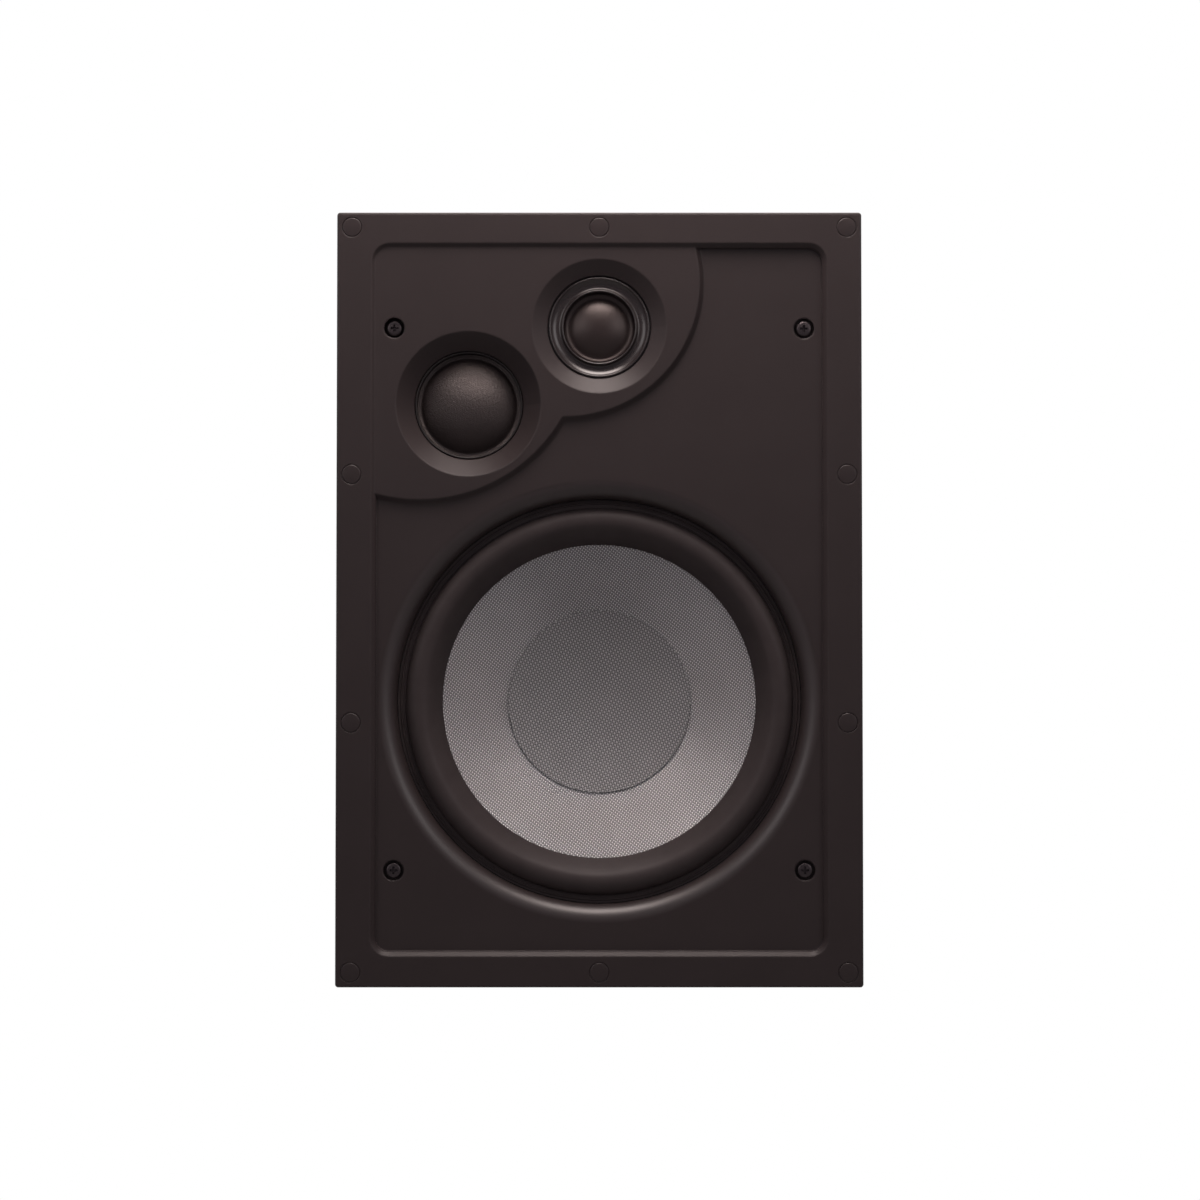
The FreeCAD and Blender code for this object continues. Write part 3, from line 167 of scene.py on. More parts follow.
studio = {
    "aim": (0.00034, -0.005, -0.0008),
    "distance": 1.6,
    "elevation": -2.2,  # the part's top leans a little away from the camera
    "lens": 102.25, "sensor": 36,
    "floorDrop": 0.42, "floorRadius": 1.1, "floorColour": "#efeeec", "floorRough": 0.9,
    "floorShare": (0.4, 1.0),  # how much of the floor shows plain white, in the middle and at the rim
    "floorMiddle": 0.1,
    "ambient": 0.13, "fillColour": "#fff3ff",
    "backdropEdge": (-0.1, 0.3),  # where the white paper behind the part starts and is full, as a direction
    # softboxes: place, width and height, power, what they face, colour
    "lights": {
        "overhead": ((-0.02, -0.12, 0.54), (0.32, 0.24), 1.3, (0.0, -0.03, 0.0), "#fff0eb"),
        "frontTop": ((0.02, -0.22, 0.52), (0.36, 0.24), 1.7, (0.0, -0.03, 0.1), "#fff0eb"),
        "leftBank": ((-0.84, -0.86, 0.42), (0.6, 0.6), 1.7, (0.0, 0.0, 0.1), "#fff9f9"),
        "rightBank": ((0.84, -0.86, 0.42), (0.6, 0.6), 1.85, (0.0, 0.0, 0.1), "#fff9f9"),
    },
    "flagPlace": (0.0, -0.52, -0.27),  # grey card under the front, out of the camera's sight
    "flagSize": (1.6, 1.0), "flagColour": "#a0a0a0",
}


def buildCamera():
    camera = bpy.data.objects.new("camera", bpy.data.cameras.new("camera"))
    camera.data.lens = studio["lens"]
    camera.data.sensor_width = studio["sensor"]
    tilt = math.radians(studio["elevation"])
    toCamera = Vector((0, -math.cos(tilt), math.sin(tilt)))
    camera.location = Vector(studio["aim"]) + toCamera * studio["distance"]
    camera.rotation_mode = "QUATERNION"
    camera.rotation_quaternion = (-toCamera).to_track_quat("-Z", "Y")
    scene.collection.objects.link(camera)
    scene.camera = camera


def buildLights():
    for name, (place, size, power, aim, colour) in studio["lights"].items():
        lamp = bpy.data.objects.new(name, bpy.data.lights.new(name, "AREA"))
        lamp.data.shape = "RECTANGLE"
        lamp.data.size, lamp.data.size_y = size
        lamp.data.energy = power
        lamp.data.color = linear(colour)[:3]
        lamp.location = place
        lamp.rotation_mode = "QUATERNION"
        lamp.rotation_quaternion = (Vector(aim) - lamp.location).to_track_quat("-Z", "Y")
        scene.collection.objects.link(lamp)


def buildFloor():
    bm = bmesh.new()
    bmesh.ops.create_circle(bm, cap_ends=True, segments=96, radius=studio["floorRadius"])
    bmesh.ops.translate(bm, verts=bm.verts, vec=(0, 0, -studio["floorDrop"]))
    mesh = bpy.data.meshes.new("floor")
    bm.to_mesh(mesh)
    bm.free()
    floor = bpy.data.objects.new("floor", mesh)
    scene.collection.objects.link(floor)
    made, tree, shader, place = startMaterial("matt white paper")
    shader.inputs["Base Color"].default_value = linear(studio["floorColour"])
    shader.inputs["Roughness"].default_value = studio["floorRough"]
    ray = addNode(tree, "ShaderNodeLightPath")
    seen = addNode(tree, "ShaderNodeMath", {"operation": "MAXIMUM"}, {
        0: ray.outputs["Is Camera Ray"], 1: ray.outputs["Is Glossy Ray"]})
    seen = addNode(tree, "ShaderNodeMath", {"operation": "MAXIMUM"}, {
        0: seen.outputs[0], 1: ray.outputs["Is Transmission Ray"]})
    reach = addNode(tree, "ShaderNodeVectorMath", {"operation": "LENGTH"}, {0: place})
    share = addNode(tree, "ShaderNodeMapRange", {
        "From Min": studio["floorDrop"] + studio["floorMiddle"], "From Max": studio["floorRadius"],
        "To Min": studio["floorShare"][0], "To Max": studio["floorShare"][1]},
        {"Value": reach.outputs["Value"]})
    share = addNode(tree, "ShaderNodeMath", {"operation": "MULTIPLY"}, {
        0: share.outputs["Result"], 1: seen.outputs[0]})
    white = addNode(tree, "ShaderNodeEmission", {"Strength": 1.0})
    mixed = addNode(tree, "ShaderNodeMixShader", None, {
        0: share.outputs[0], 1: shader.outputs[0], 2: white.outputs[0]})
    tree.links.new(tree.nodes["Material Output"].inputs["Surface"], mixed.outputs[0])
    mesh.materials.append(made)


def buildFlag():
    bm = bmesh.new()
    bmesh.ops.create_grid(bm, x_segments=1, y_segments=1, size=0.5)
    bmesh.ops.scale(bm, vec=(*studio["flagSize"], 1), verts=bm.verts)
    bmesh.ops.translate(bm, verts=bm.verts, vec=studio["flagPlace"])
    mesh = bpy.data.meshes.new("flag")
    bm.to_mesh(mesh)
    bm.free()
    flag = bpy.data.objects.new("flag", mesh)
    scene.collection.objects.link(flag)
    flag.visible_camera = False
    flag.visible_shadow = False
    made, _, shader, _ = startMaterial("grey felt card")
    shader.inputs["Base Color"].default_value = linear(studio["flagColour"])
    shader.inputs["Roughness"].default_value = 1.0
    shader.inputs["Specular IOR Level"].default_value = 0.0
    mesh.materials.append(made)


def buildWorld():
    world = bpy.data.worlds.new("studio")
    scene.world = world
    world.use_nodes = True
    tree = world.node_tree
    direction = addNode(tree, "ShaderNodeTexCoord").outputs["Generated"]
    part = addNode(tree, "ShaderNodeSeparateXYZ", None, {0: direction})
    # the white paper behind the part, seen by the camera from any side
    ray = addNode(tree, "ShaderNodeLightPath")
    mirrored = addNode(tree, "ShaderNodeMath", {"operation": "MAXIMUM"}, {
        0: ray.outputs["Is Glossy Ray"], 1: ray.outputs["Is Transmission Ray"]})
    behind = addNode(tree, "ShaderNodeMapRange", {
        "interpolation_type": "SMOOTHSTEP",
        "From Min": studio["backdropEdge"][0], "From Max": studio["backdropEdge"][1]},
        {"Value": part.outputs["Y"]})
    mirrored = addNode(tree, "ShaderNodeMath", {"operation": "MULTIPLY"}, {
        0: mirrored.outputs[0], 1: behind.outputs["Result"]})
    seen = addNode(tree, "ShaderNodeMath", {"operation": "MAXIMUM"}, {
        0: ray.outputs["Is Camera Ray"], 1: mirrored.outputs[0]})
    strength = addNode(tree, "ShaderNodeMix", {2: studio["ambient"], 3: 1.0}, {0: seen.outputs[0]})
    tree.links.new(tree.nodes["Background"].inputs["Strength"], strength.outputs[0])
    colour = addNode(tree, "ShaderNodeMix", {
        "data_type": "RGBA", 6: linear(studio["fillColour"]), 7: (1, 1, 1, 1)}, {0: seen.outputs[0]})
    tree.links.new(tree.nodes["Background"].inputs["Color"], colour.outputs[2])


buildCamera()
buildLights()
buildFloor()
buildFlag()
buildWorld()
print("studio built")


# materials

def mouldedPlastic(name, look):
    made, tree, shader, place = startMaterial(name)
    grain = addNode(tree, "ShaderNodeTexNoise", {
        "Scale": perMetre(look["grain"]), "Detail": 3.0, "Roughness": 0.6}, {"Vector": place}).outputs[0]
    flow = addNode(tree, "ShaderNodeTexNoise", {
        "Scale": perMetre(look["flow"]), "Detail": 2.0}, {"Vector": place}).outputs[0]
    colour = addNode(tree, "ShaderNodeMix", {
        "data_type": "RGBA", 6: linear(look["colour"]), 7: linear(look["pale"])}, {0: flow})
    tree.links.new(shader.inputs["Base Color"], colour.outputs[2])
    rough = addNode(tree, "ShaderNodeMapRange", {
        "From Min": 0.3, "From Max": 0.7, "To Min": look["rough"][0], "To Max": look["rough"][1]},
        {"Value": grain}).outputs["Result"]
    tree.links.new(shader.inputs["Roughness"], rough)
    if "polish" in look:
        # the tool is polished inside a circle round the woofer's axis
        p = look["polish"]
        across, up = p["centre"]
        off = addNode(tree, "ShaderNodeVectorMath", {
            "operation": "MULTIPLY_ADD", 1: (1, 0, 1), 2: (-across * mm, 0, -up * mm)}, {0: place})
        away = addNode(tree, "ShaderNodeVectorMath", {"operation": "LENGTH"}, {0: off.outputs[0]})
        beyond = addNode(tree, "ShaderNodeMapRange", {
            "interpolation_type": "SMOOTHSTEP",
            "From Min": p["inside"] * mm, "From Max": p["outside"] * mm},
            {"Value": away.outputs["Value"]}).outputs["Result"]
        mixed = addNode(tree, "ShaderNodeMix", {2: p["rough"]}, {0: beyond, 3: rough})
        tree.links.new(shader.inputs["Roughness"], mixed.outputs[0])
        sheen = addNode(tree, "ShaderNodeMix", {2: p["specular"], 3: look["specular"]}, {0: beyond})
        tree.links.new(shader.inputs["Specular IOR Level"], sheen.outputs[0])
    bump = addNode(tree, "ShaderNodeBump", {
        "Strength": 1.0, "Distance": look["relief"] * mm}, {"Height": grain})
    tree.links.new(shader.inputs["Normal"], bump.outputs[0])
    if "edge" in look:
        # every moulded corner is shaded a little round
        corner = addNode(tree, "ShaderNodeBevel", {"samples": 6, "Radius": look["edge"] * mm})
        tree.links.new(bump.inputs["Normal"], corner.outputs[0])
    shader.inputs["IOR"].default_value = 1.5
    shader.inputs["Specular IOR Level"].default_value = look["specular"]
    return made


# ABS moulded in a spark-eroded tool: an even, very fine matt grain with a soft sheen,
# the grain drawn coarser than the real tenth of a millimetre so that it shows
erodedAbs = mouldedPlastic("spark-eroded ABS", {
    "colour": "#302828", "pale": "#362e2e", "grain": 0.5, "flow": 30, "relief": 0.012,
    "rough": (0.42, 0.52), "specular": 0.42, "edge": 1.2,
    "polish": {"centre": wooferCentre, "inside": 101.5, "outside": 104.5, "rough": 0.41, "specular": 0.85}})
# ABS from a polished tool: darker and slightly glossier than the baffle
smoothAbs = mouldedPlastic("smooth moulded ABS", {
    "colour": "#262122", "pale": "#2b2627", "grain": 0.8, "flow": 12, "relief": 0.004,
    "rough": (0.3, 0.42), "specular": 0.45})
# ABS from a mirror-polished tool, for the ring that guides the treble
glossAbs = mouldedPlastic("polished moulded ABS", {
    "colour": "#2a2424", "pale": "#302a2a", "grain": 3, "flow": 12, "relief": 0.002,
    "rough": (0.23, 0.27), "specular": 0.8})
# the same ABS, rougher and coloured darker as painted shade, for the midrange's ring that sits in the
# shadowed gap round the dome
shadedMattAbs = mouldedPlastic("matt ABS darkened as painted shade", {
    "colour": "#1d1919", "pale": "#231f1f", "grain": 0.6, "flow": 10, "relief": 0.008,
    "rough": (0.46, 0.58), "specular": 0.4})
# lacquer over a sintered disc: the bezel's colour, a little smoother
magnetLacquer = mouldedPlastic("lacquered magnet face", {
    "colour": "#302828", "pale": "#362e2e", "grain": 0.6, "flow": 6, "relief": 0.008,
    "rough": (0.34, 0.44), "specular": 0.5})
# butyl rubber, compression moulded: satin, with a faint bloom
butylRubber = mouldedPlastic("moulded butyl rubber", {
    "colour": "#393232", "pale": "#433c3c", "grain": 0.7, "flow": 9, "relief": 0.006,
    "rough": (0.46, 0.58), "specular": 0.27})
# glass-filled nylon: streaky and half-gloss
filledNylon = mouldedPlastic("glass-filled nylon", {
    "colour": "#1c1b1b", "pale": "#2a2828", "grain": 0.4, "flow": 3, "relief": 0.02,
    "rough": (0.32, 0.5), "specular": 0.5})
# stoved paint on pressed steel: slight orange peel
stovedPaint = mouldedPlastic("stoved black paint", {
    "colour": "#1d1d1e", "pale": "#242425", "grain": 1.6, "flow": 25, "relief": 0.03,
    "rough": (0.26, 0.36), "specular": 0.5})
# closed-cell foam: dull, with open cells along the cut
gasketFoam = mouldedPlastic("closed-cell foam", {
    "colour": "#1a1919", "pale": "#252323", "grain": 0.9, "flow": 5, "relief": 0.12,
    "rough": (0.8, 0.95), "specular": 0.25})
# hard ferrite, sintered and ground: dull grey-black with pores
groundFerrite = mouldedPlastic("ground ferrite", {
    "colour": "#2b2b2d", "pale": "#39393b", "grain": 0.7, "flow": 8, "relief": 0.03,
    "rough": (0.55, 0.75), "specular": 0.5})
# ceramic cement of power resistors: chalky
ceramicCement = mouldedPlastic("ceramic cement", {
    "colour": "#d8d5cb", "pale": "#e6e4dc", "grain": 0.5, "flow": 3, "relief": 0.05,
    "rough": (0.8, 0.95), "specular": 0.3})
# polypropylene press caps: smooth gloss
redCap = mouldedPlastic("red polypropylene", {
    "colour": "#a01514", "pale": "#b01d1a", "grain": 0.6, "flow": 4, "relief": 0.004,
    "rough": (0.25, 0.36), "specular": 0.5})
blackCap = mouldedPlastic("black polypropylene", {
    "colour": "#191818", "pale": "#201f1f", "grain": 0.6, "flow": 4, "relief": 0.004,
    "rough": (0.25, 0.36), "specular": 0.5})
# shrunk sleeve over a film capacitor
shrunkSleeve = mouldedPlastic("shrunk PVC sleeve", {
    "colour": "#1d2c4a", "pale": "#243656", "grain": 1.2, "flow": 5, "relief": 0.02,
    "rough": (0.25, 0.35), "specular": 0.5})


def drawnMetal(name, look):
    made, tree, shader, place = startMaterial(name)
    streak = addNode(tree, "ShaderNodeMapping", {"Scale": look["stretch"]}, {"Vector": place}).outputs[0]
    lines = addNode(tree, "ShaderNodeTexNoise", {
        "Scale": perMetre(look["line"]), "Detail": 4.0, "Roughness": 0.7}, {"Vector": streak}).outputs[0]
    cloud = addNode(tree, "ShaderNodeTexNoise", {
        "Scale": perMetre(look["cloud"]), "Detail": 3.0}, {"Vector": place}).outputs[0]
    colour = addNode(tree, "ShaderNodeMix", {
        "data_type": "RGBA", 6: linear(look["colour"]), 7: linear(look["pale"])}, {0: cloud})
    tree.links.new(shader.inputs["Base Color"], colour.outputs[2])
    rough = addNode(tree, "ShaderNodeMapRange", {
        "From Min": 0.3, "From Max": 0.7, "To Min": look["rough"][0], "To Max": look["rough"][1]},
        {"Value": lines})
    tree.links.new(shader.inputs["Roughness"], rough.outputs["Result"])
    bump = addNode(tree, "ShaderNodeBump", {
        "Strength": 1.0, "Distance": look["relief"] * mm}, {"Height": lines})
    tree.links.new(shader.inputs["Normal"], bump.outputs[0])
    shader.inputs["Metallic"].default_value = look["metal"]
    return made


# mild steel, turned and zinc plated: pale grey with a cloudy passivation
zincSteel = drawnMetal("zinc-plated steel", {
    "colour": "#a7a9ab", "pale": "#bfc1c2", "line": 0.6, "cloud": 9, "stretch": (1, 8, 1), "relief": 0.006,
    "rough": (0.26, 0.4), "metal": 1.0})
# nickel over neodymium: bright and smooth
nickelPlate = drawnMetal("nickel plate", {
    "colour": "#b5afa6", "pale": "#c4beb4", "line": 0.8, "cloud": 6, "stretch": (1, 1, 1), "relief": 0.002,
    "rough": (0.14, 0.22), "metal": 1.0})
# turned brass
turnedBrass = drawnMetal("turned brass", {
    "colour": "#b08d4e", "pale": "#c19c58", "line": 0.5, "cloud": 4, "stretch": (1, 6, 1), "relief": 0.006,
    "rough": (0.22, 0.36), "metal": 1.0})
# enamelled copper wire: warm and glossy
enamelCopper = drawnMetal("enamelled copper wire", {
    "colour": "#a4542a", "pale": "#bb6a38", "line": 0.5, "cloud": 3, "stretch": (1, 1, 1), "relief": 0.004,
    "rough": (0.2, 0.34), "metal": 1.0})
# rolled aluminium foil
rolledFoil = drawnMetal("rolled aluminium", {
    "colour": "#b9babb", "pale": "#c8c9ca", "line": 0.3, "cloud": 5, "stretch": (1, 10, 1), "relief": 0.003,
    "rough": (0.25, 0.35), "metal": 1.0})
# tinned copper of component leads and solder
tinnedWire = drawnMetal("tinned copper", {
    "colour": "#b8b9b8", "pale": "#c9cac8", "line": 0.4, "cloud": 2, "stretch": (1, 1, 1), "relief": 0.004,
    "rough": (0.22, 0.34), "metal": 1.0})
# black oxide on screw steel: near black with a soft metallic sheen
blackOxide = drawnMetal("black oxide steel", {
    "colour": "#4a4446", "pale": "#585254", "line": 0.5, "cloud": 2, "stretch": (1, 1, 1), "relief": 0.006,
    "rough": (0.3, 0.42), "metal": 0.8})


def wovenCloth(name, look):
    # plain weave: where the two sines share a sign the warp lies on top, elsewhere the weft
    made, tree, shader, place = startMaterial(name)
    turn = math.pi / (look["pitch"] * mm)
    yarnShare = 0.6  # of each yarn's own roundness in the relief, beside the crossings
    threads = addNode(tree, "ShaderNodeMapping", {
        "Scale": (turn, turn, turn), "Rotation": (0, math.radians(look["angle"]), 0)}, {"Vector": place})
    sides = addNode(tree, "ShaderNodeSeparateXYZ", None, {0: threads.outputs[0]})
    warp = addNode(tree, "ShaderNodeMath", {"operation": "SINE"}, {0: sides.outputs["X"]}).outputs[0]
    weft = addNode(tree, "ShaderNodeMath", {"operation": "SINE"}, {0: sides.outputs["Z"]}).outputs[0]
    cross = addNode(tree, "ShaderNodeMath", {"operation": "MULTIPLY"}, {0: warp, 1: weft}).outputs[0]
    onTop = addNode(tree, "ShaderNodeMath", {"operation": "GREATER_THAN", 1: 0.0}, {0: cross}).outputs[0]
    warp = addNode(tree, "ShaderNodeMath", {"operation": "ABSOLUTE"}, {0: warp}).outputs[0]
    weft = addNode(tree, "ShaderNodeMath", {"operation": "ABSOLUTE"}, {0: weft}).outputs[0]
    knot = addNode(tree, "ShaderNodeMath", {"operation": "ABSOLUTE"}, {0: cross}).outputs[0]
    yarn = addNode(tree, "ShaderNodeMix", None, {0: onTop, 2: weft, 3: warp}).outputs[0]
    weave = addNode(tree, "ShaderNodeMath", {
        "operation": "MULTIPLY_ADD", 1: yarnShare}, {0: yarn, 2: knot}).outputs[0]
    patch = addNode(tree, "ShaderNodeTexNoise", {
        "Scale": perMetre(look["patch"]), "Detail": 3.0}, {"Vector": place}).outputs[0]
    height = addNode(tree, "ShaderNodeMath", {
        "operation": "MULTIPLY_ADD", 1: look["lump"]}, {0: patch, 2: weave}).outputs[0]
    # the yarn on top gives the colour: the warp is coloured paler than the weft as painted sheen, though
    # both are one yarn
    thread = addNode(tree, "ShaderNodeMix", {
        "data_type": "RGBA", 6: linear(look["weft"]), 7: linear(look["warp"])}, {0: onTop}).outputs[2]
    shade = addNode(tree, "ShaderNodeMapRange", {
        "To Min": 0.7, "To Max": 1.25}, {"Value": patch}).outputs["Result"]
    worn = addNode(tree, "ShaderNodeMix", {
        "data_type": "RGBA", "blend_type": "MULTIPLY", 0: look["mottle"]}, {6: thread, 7: shade}).outputs[2]
    # the hollows between the yarns take the darker colour as painted shade
    hollowShadeMask = addNode(tree, "ShaderNodeMapRange", {
        "From Min": 0.1, "From Max": 0.9}, {"Value": height}).outputs["Result"]
    colour = addNode(tree, "ShaderNodeMix", {
        "data_type": "RGBA", 6: linear(look["hollowShade"])}, {0: hollowShadeMask, 7: worn}).outputs[2]
    tree.links.new(shader.inputs["Base Color"], colour)
    bump = addNode(tree, "ShaderNodeBump", {
        "Strength": 1.0, "Distance": look["relief"] * mm}, {"Height": height})
    tree.links.new(shader.inputs["Normal"], bump.outputs[0])
    shader.inputs["Roughness"].default_value = look["rough"]
    shader.inputs["Metallic"].default_value = look["metal"]
    shader.inputs["IOR"].default_value = 1.52
    shader.inputs["Specular IOR Level"].default_value = look["specular"]
    shader.inputs["Specular Tint"].default_value = linear(look["tint"])
    return made


# glass-fibre cloth, plain woven, resin bonded and flashed with metal: grey yarns that glint,
# the warp coloured paler than the weft as painted sheen, the hollows between them dark as painted shade
glassCone = wovenCloth("woven glass fibre, cone", {
    "pitch": 0.86, "angle": 8, "warp": "#e8e8e9", "weft": "#a0a0a2", "hollowShade": "#2a2a2b",
    "patch": 14, "mottle": 0.25, "relief": 0.13, "lump": 0.0,
    "rough": 0.3, "specular": 0.5, "metal": 0.5, "tint": "#ffffff"})
glassCap = wovenCloth("woven glass fibre, cap", {
    "pitch": 1.1, "angle": 14, "warp": "#bcbcbc", "weft": "#909091", "hollowShade": "#3a3a3a",
    "patch": 12, "mottle": 0.25, "relief": 0.1, "lump": 0.0,
    "rough": 0.4, "specular": 0.5, "metal": 0.45, "tint": "#ffffff"})
# cotton cloth, varnished and hot pressed: brown and dull, the warp paler as painted sheen and the hollows
# darker as painted shade
varnishedCotton = wovenCloth("varnished cotton", {
    "pitch": 0.6, "angle": 20, "warp": "#8d6a36", "weft": "#7d5c2d", "hollowShade": "#553c1c",
    "patch": 8, "mottle": 0.3, "relief": 0.08, "lump": 0.3,
    "rough": 0.6, "specular": 0.4, "metal": 0.0, "tint": "#ffffff"})
# dome cloths, filled with a black doping: a warm satin sheen over threads
# that are drawn coarser than real silk so that they show
# in both dome cloths the warp is coloured a little paler than the weft as painted sheen, and the hollows
# darker as painted shade
midrangeSilk = wovenCloth("doped woven cloth", {
    "pitch": 0.55, "angle": 35, "warp": "#2c2525", "weft": "#231d1d", "hollowShade": "#161212",
    "patch": 0.9, "mottle": 0.8, "relief": 0.05, "lump": 4.0,
    "rough": 0.35, "specular": 0.8, "metal": 0.0, "tint": "#fff4f0"})
tweeterSilk = wovenCloth("doped fine silk", {
    "pitch": 0.35, "angle": 20, "warp": "#332b2b", "weft": "#2d2626", "hollowShade": "#231e1e",
    "patch": 6, "mottle": 0.3, "relief": 0.008, "lump": 0.5,
    "rough": 0.36, "specular": 0.55, "metal": 0.0, "tint": "#fff1ec"})


def lacqueredBoard(name, look):
    made, tree, shader, place = startMaterial(name)
    tracks = addNode(tree, "ShaderNodeTexVoronoi", {
        "distance": "CHEBYCHEV", "feature": "F1", "Scale": perMetre(look["track"]), "Randomness": 0.8},
        {"Vector": place})
    edge = addNode(tree, "ShaderNodeMapRange", {
        "From Min": 0.42, "From Max": 0.46}, {"Value": tracks.outputs["Distance"]}).outputs["Result"]
    colour = addNode(tree, "ShaderNodeMix", {
        "data_type": "RGBA", 6: linear(look["copper"]), 7: linear(look["bare"])}, {0: edge})
    tree.links.new(shader.inputs["Base Color"], colour.outputs[2])
    bump = addNode(tree, "ShaderNodeBump", {
        "Strength": 1.0, "Distance": look["relief"] * mm}, {"Height": edge})
    tree.links.new(shader.inputs["Normal"], bump.outputs[0])
    shader.inputs["Roughness"].default_value = look["rough"]
    return made


# green lacquer over copper tracks on a glass laminate: tracks show as paler bands
boardResist = lacqueredBoard("green solder resist", {
    "track": 9, "copper": "#1c5a30", "bare": "#143d22", "relief": 0.04, "rough": 0.28})
print("materials made:", len(bpy.data.materials))


# solids that keep their own shape get their finish

dressNodes(erodedAbs, "front_baffle")
dressNodes(gasketFoam, "woofer_gasket")
dressNodes(stovedPaint, "woofer_basket")
dressNodes(zincSteel, "midrange_pole_plate", "midrange_yoke", "tweeter_pole_plate", "tweeter_yoke")
dressNodes(nickelPlate, "midrange_magnet", "tweeter_magnet")
dressNodes(rolledFoil, "woofer_coil_former")
dressNodes(enamelCopper, "midrange_voice_coil", "tweeter_voice_coil")
dressNodes(smoothAbs, "woofer_inductor_bobbin", "terminal_block")
dressNodes(shadedMattAbs, "midrange_frame")
dressNodes(boardResist, "crossover_board")
for number in range(1, 5):
    dressNodes(filledNylon, f"clamp_arm_{number}")
    dressNodes(turnedBrass, f"clamp_nut_{number}")
print("solids dressed")


# woofer diaphragm

woofer = {
    "centre": wooferCentre,
    "coneRadius": 74.2, "face": 16.5, "coneSlope": 0.4333, "coneWall": 1.0, "coneGap": 0.2, "neck": 19.3,
    "capRadius": 43.5, "capDish": 4.6, "capWall": 0.8, "capGlue": 0.05,
    "rim": 79.0, "roll": 91.7, "lip": 95.3, "rise": 6.0, "rubber": 0.8,
    "bead": 93.7, "beadWidth": 1.0,  # fine raised line on the outer lip
}


def coneFront(radius):
    return woofer["face"] + (woofer["rim"] - radius) * woofer["coneSlope"]


def buildWooferCone():
    w = woofer
    bm = bmesh.new()
    edge = w["rim"] - w["coneGap"]
    drawProfile(bm, (w["neck"], coneFront(w["neck"])), [
        (edge, coneFront(edge)), (edge, coneFront(edge) + w["coneWall"]),
        (w["neck"], coneFront(w["neck"]) + w["coneWall"])], closed=True)
    turnProfile(bm, w["centre"], steps=160)
    makePiece("wooferCone", bm, glassCone, "woofer_diaphragm", ["woofer_cone"])


def buildDustCap():
    w = woofer
    edge = coneFront(w["capRadius"])
    bowl = arcRadius(w["capRadius"], w["capDish"])
    sweep = math.degrees(math.asin(w["capRadius"] / bowl))
    middle = edge - w["capWall"] + w["capDish"]
    bm = bmesh.new()
    drawProfile(bm, (0, middle), [(0, middle - bowl, -sweep, 24), (w["capRadius"], edge - w["capGlue"])])
    turnProfile(bm, w["centre"])
    makePiece("wooferDustCap", bm, glassCap, "woofer_diaphragm", ["woofer_dust_cap"])


def buildSurround():
    w = woofer
    front = w["face"] - w["rubber"]
    half = (w["roll"] - w["rim"]) / 2
    middle = (w["roll"] + w["rim"]) / 2
    bend = arcRadius(half, w["rise"])
    core = front - w["rise"] + bend
    # the inner flank climbs straight from the cone's edge until it just touches the roll
    foot = (w["coneRadius"], coneFront(w["coneRadius"]) - w["rubber"])
    away = math.hypot(middle - foot[0], core - foot[1])
    lean = math.asin(bend / away) + math.atan2(foot[1] - core, middle - foot[0])
    climb = math.sqrt(away ** 2 - bend ** 2)
    sweep = math.degrees(lean + math.asin(half / bend))
    bm = bmesh.new()
    drawProfile(bm, (w["coneRadius"], coneFront(w["coneRadius"])), [
        foot, (foot[0] + climb * math.cos(lean), foot[1] - climb * math.sin(lean)),
        (middle, core, sweep, 20),
        (w["bead"] - w["beadWidth"] / 2, front), (w["bead"], front, 180, 8),
        (w["lip"], front), (w["lip"], w["face"]), (w["roll"], w["face"])])
    turnProfile(bm, w["centre"], steps=160)
    piece = makePiece("wooferSurround", bm, butylRubber, None, (), sharp=50)
    rideRoll(piece)
    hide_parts("woofer_surround")


# bakes the piece's place into its mesh, leaving it on no body
def rideRoll(piece):
    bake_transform(piece)


buildWooferCone()
buildDustCap()
buildSurround()
print("woofer diaphragm built")


# soft domes

domes = {
    "midrange": {"centre": (-61.7, 91.8), "radius": 23.4, "height": 9.2, "roll": 1.9, "rise": 0.5,
                 "rim": 2.0, "lip": 15.0, "seat": 0.8, "cloth": midrangeSilk},
    "tweeter": {"centre": (0.0, 128.5), "radius": 14.9, "height": 4.4, "roll": 2.0, "rise": 0.4,
                "rim": 1.8, "lip": 11.3, "seat": 0.8, "cloth": tweeterSilk},
}


def buildDome(name):
    d = domes[name]
    seat = d["radius"] - d["seat"]
    bowl = arcRadius(seat, d["height"])
    sweep = math.degrees(math.acos((bowl - d["height"]) / bowl))
    half = d["roll"] / 2
    bend = arcRadius(half, d["rise"])
    rollSweep = 2 * math.degrees(math.asin(half / bend))
    bm = bmesh.new()
    drawProfile(bm, (0, d["lip"] - d["height"]), [
        (0, d["lip"] - d["height"] + bowl, sweep, 32), (d["radius"], d["lip"]),
        (d["radius"] + half, d["lip"] - d["rise"] + bend, rollSweep, 10),
        (d["radius"] + d["roll"] + d["rim"], d["lip"])])
    turnProfile(bm, d["centre"])
    piece = makePiece(f"{name}Dome", bm, d["cloth"], None, (), sharp=50)
    rideRoll(piece)
    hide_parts(f"{name}_dome")


for name in domes:
    buildDome(name)
print("domes built")


# tweeter faceplate: two thin beads with a trough between them that opens towards the rim

faceplate = {
    "bore": 16.9, "bead": 17.8, "floor": 19.3, "rim": 22.8, "boss": 23.8, "flange": 30.1,
    "brow": 6.8, "crown": 0.3, "trough": 1.45, "seat": 9.1, "back": 11.3, "steps": 12,
}


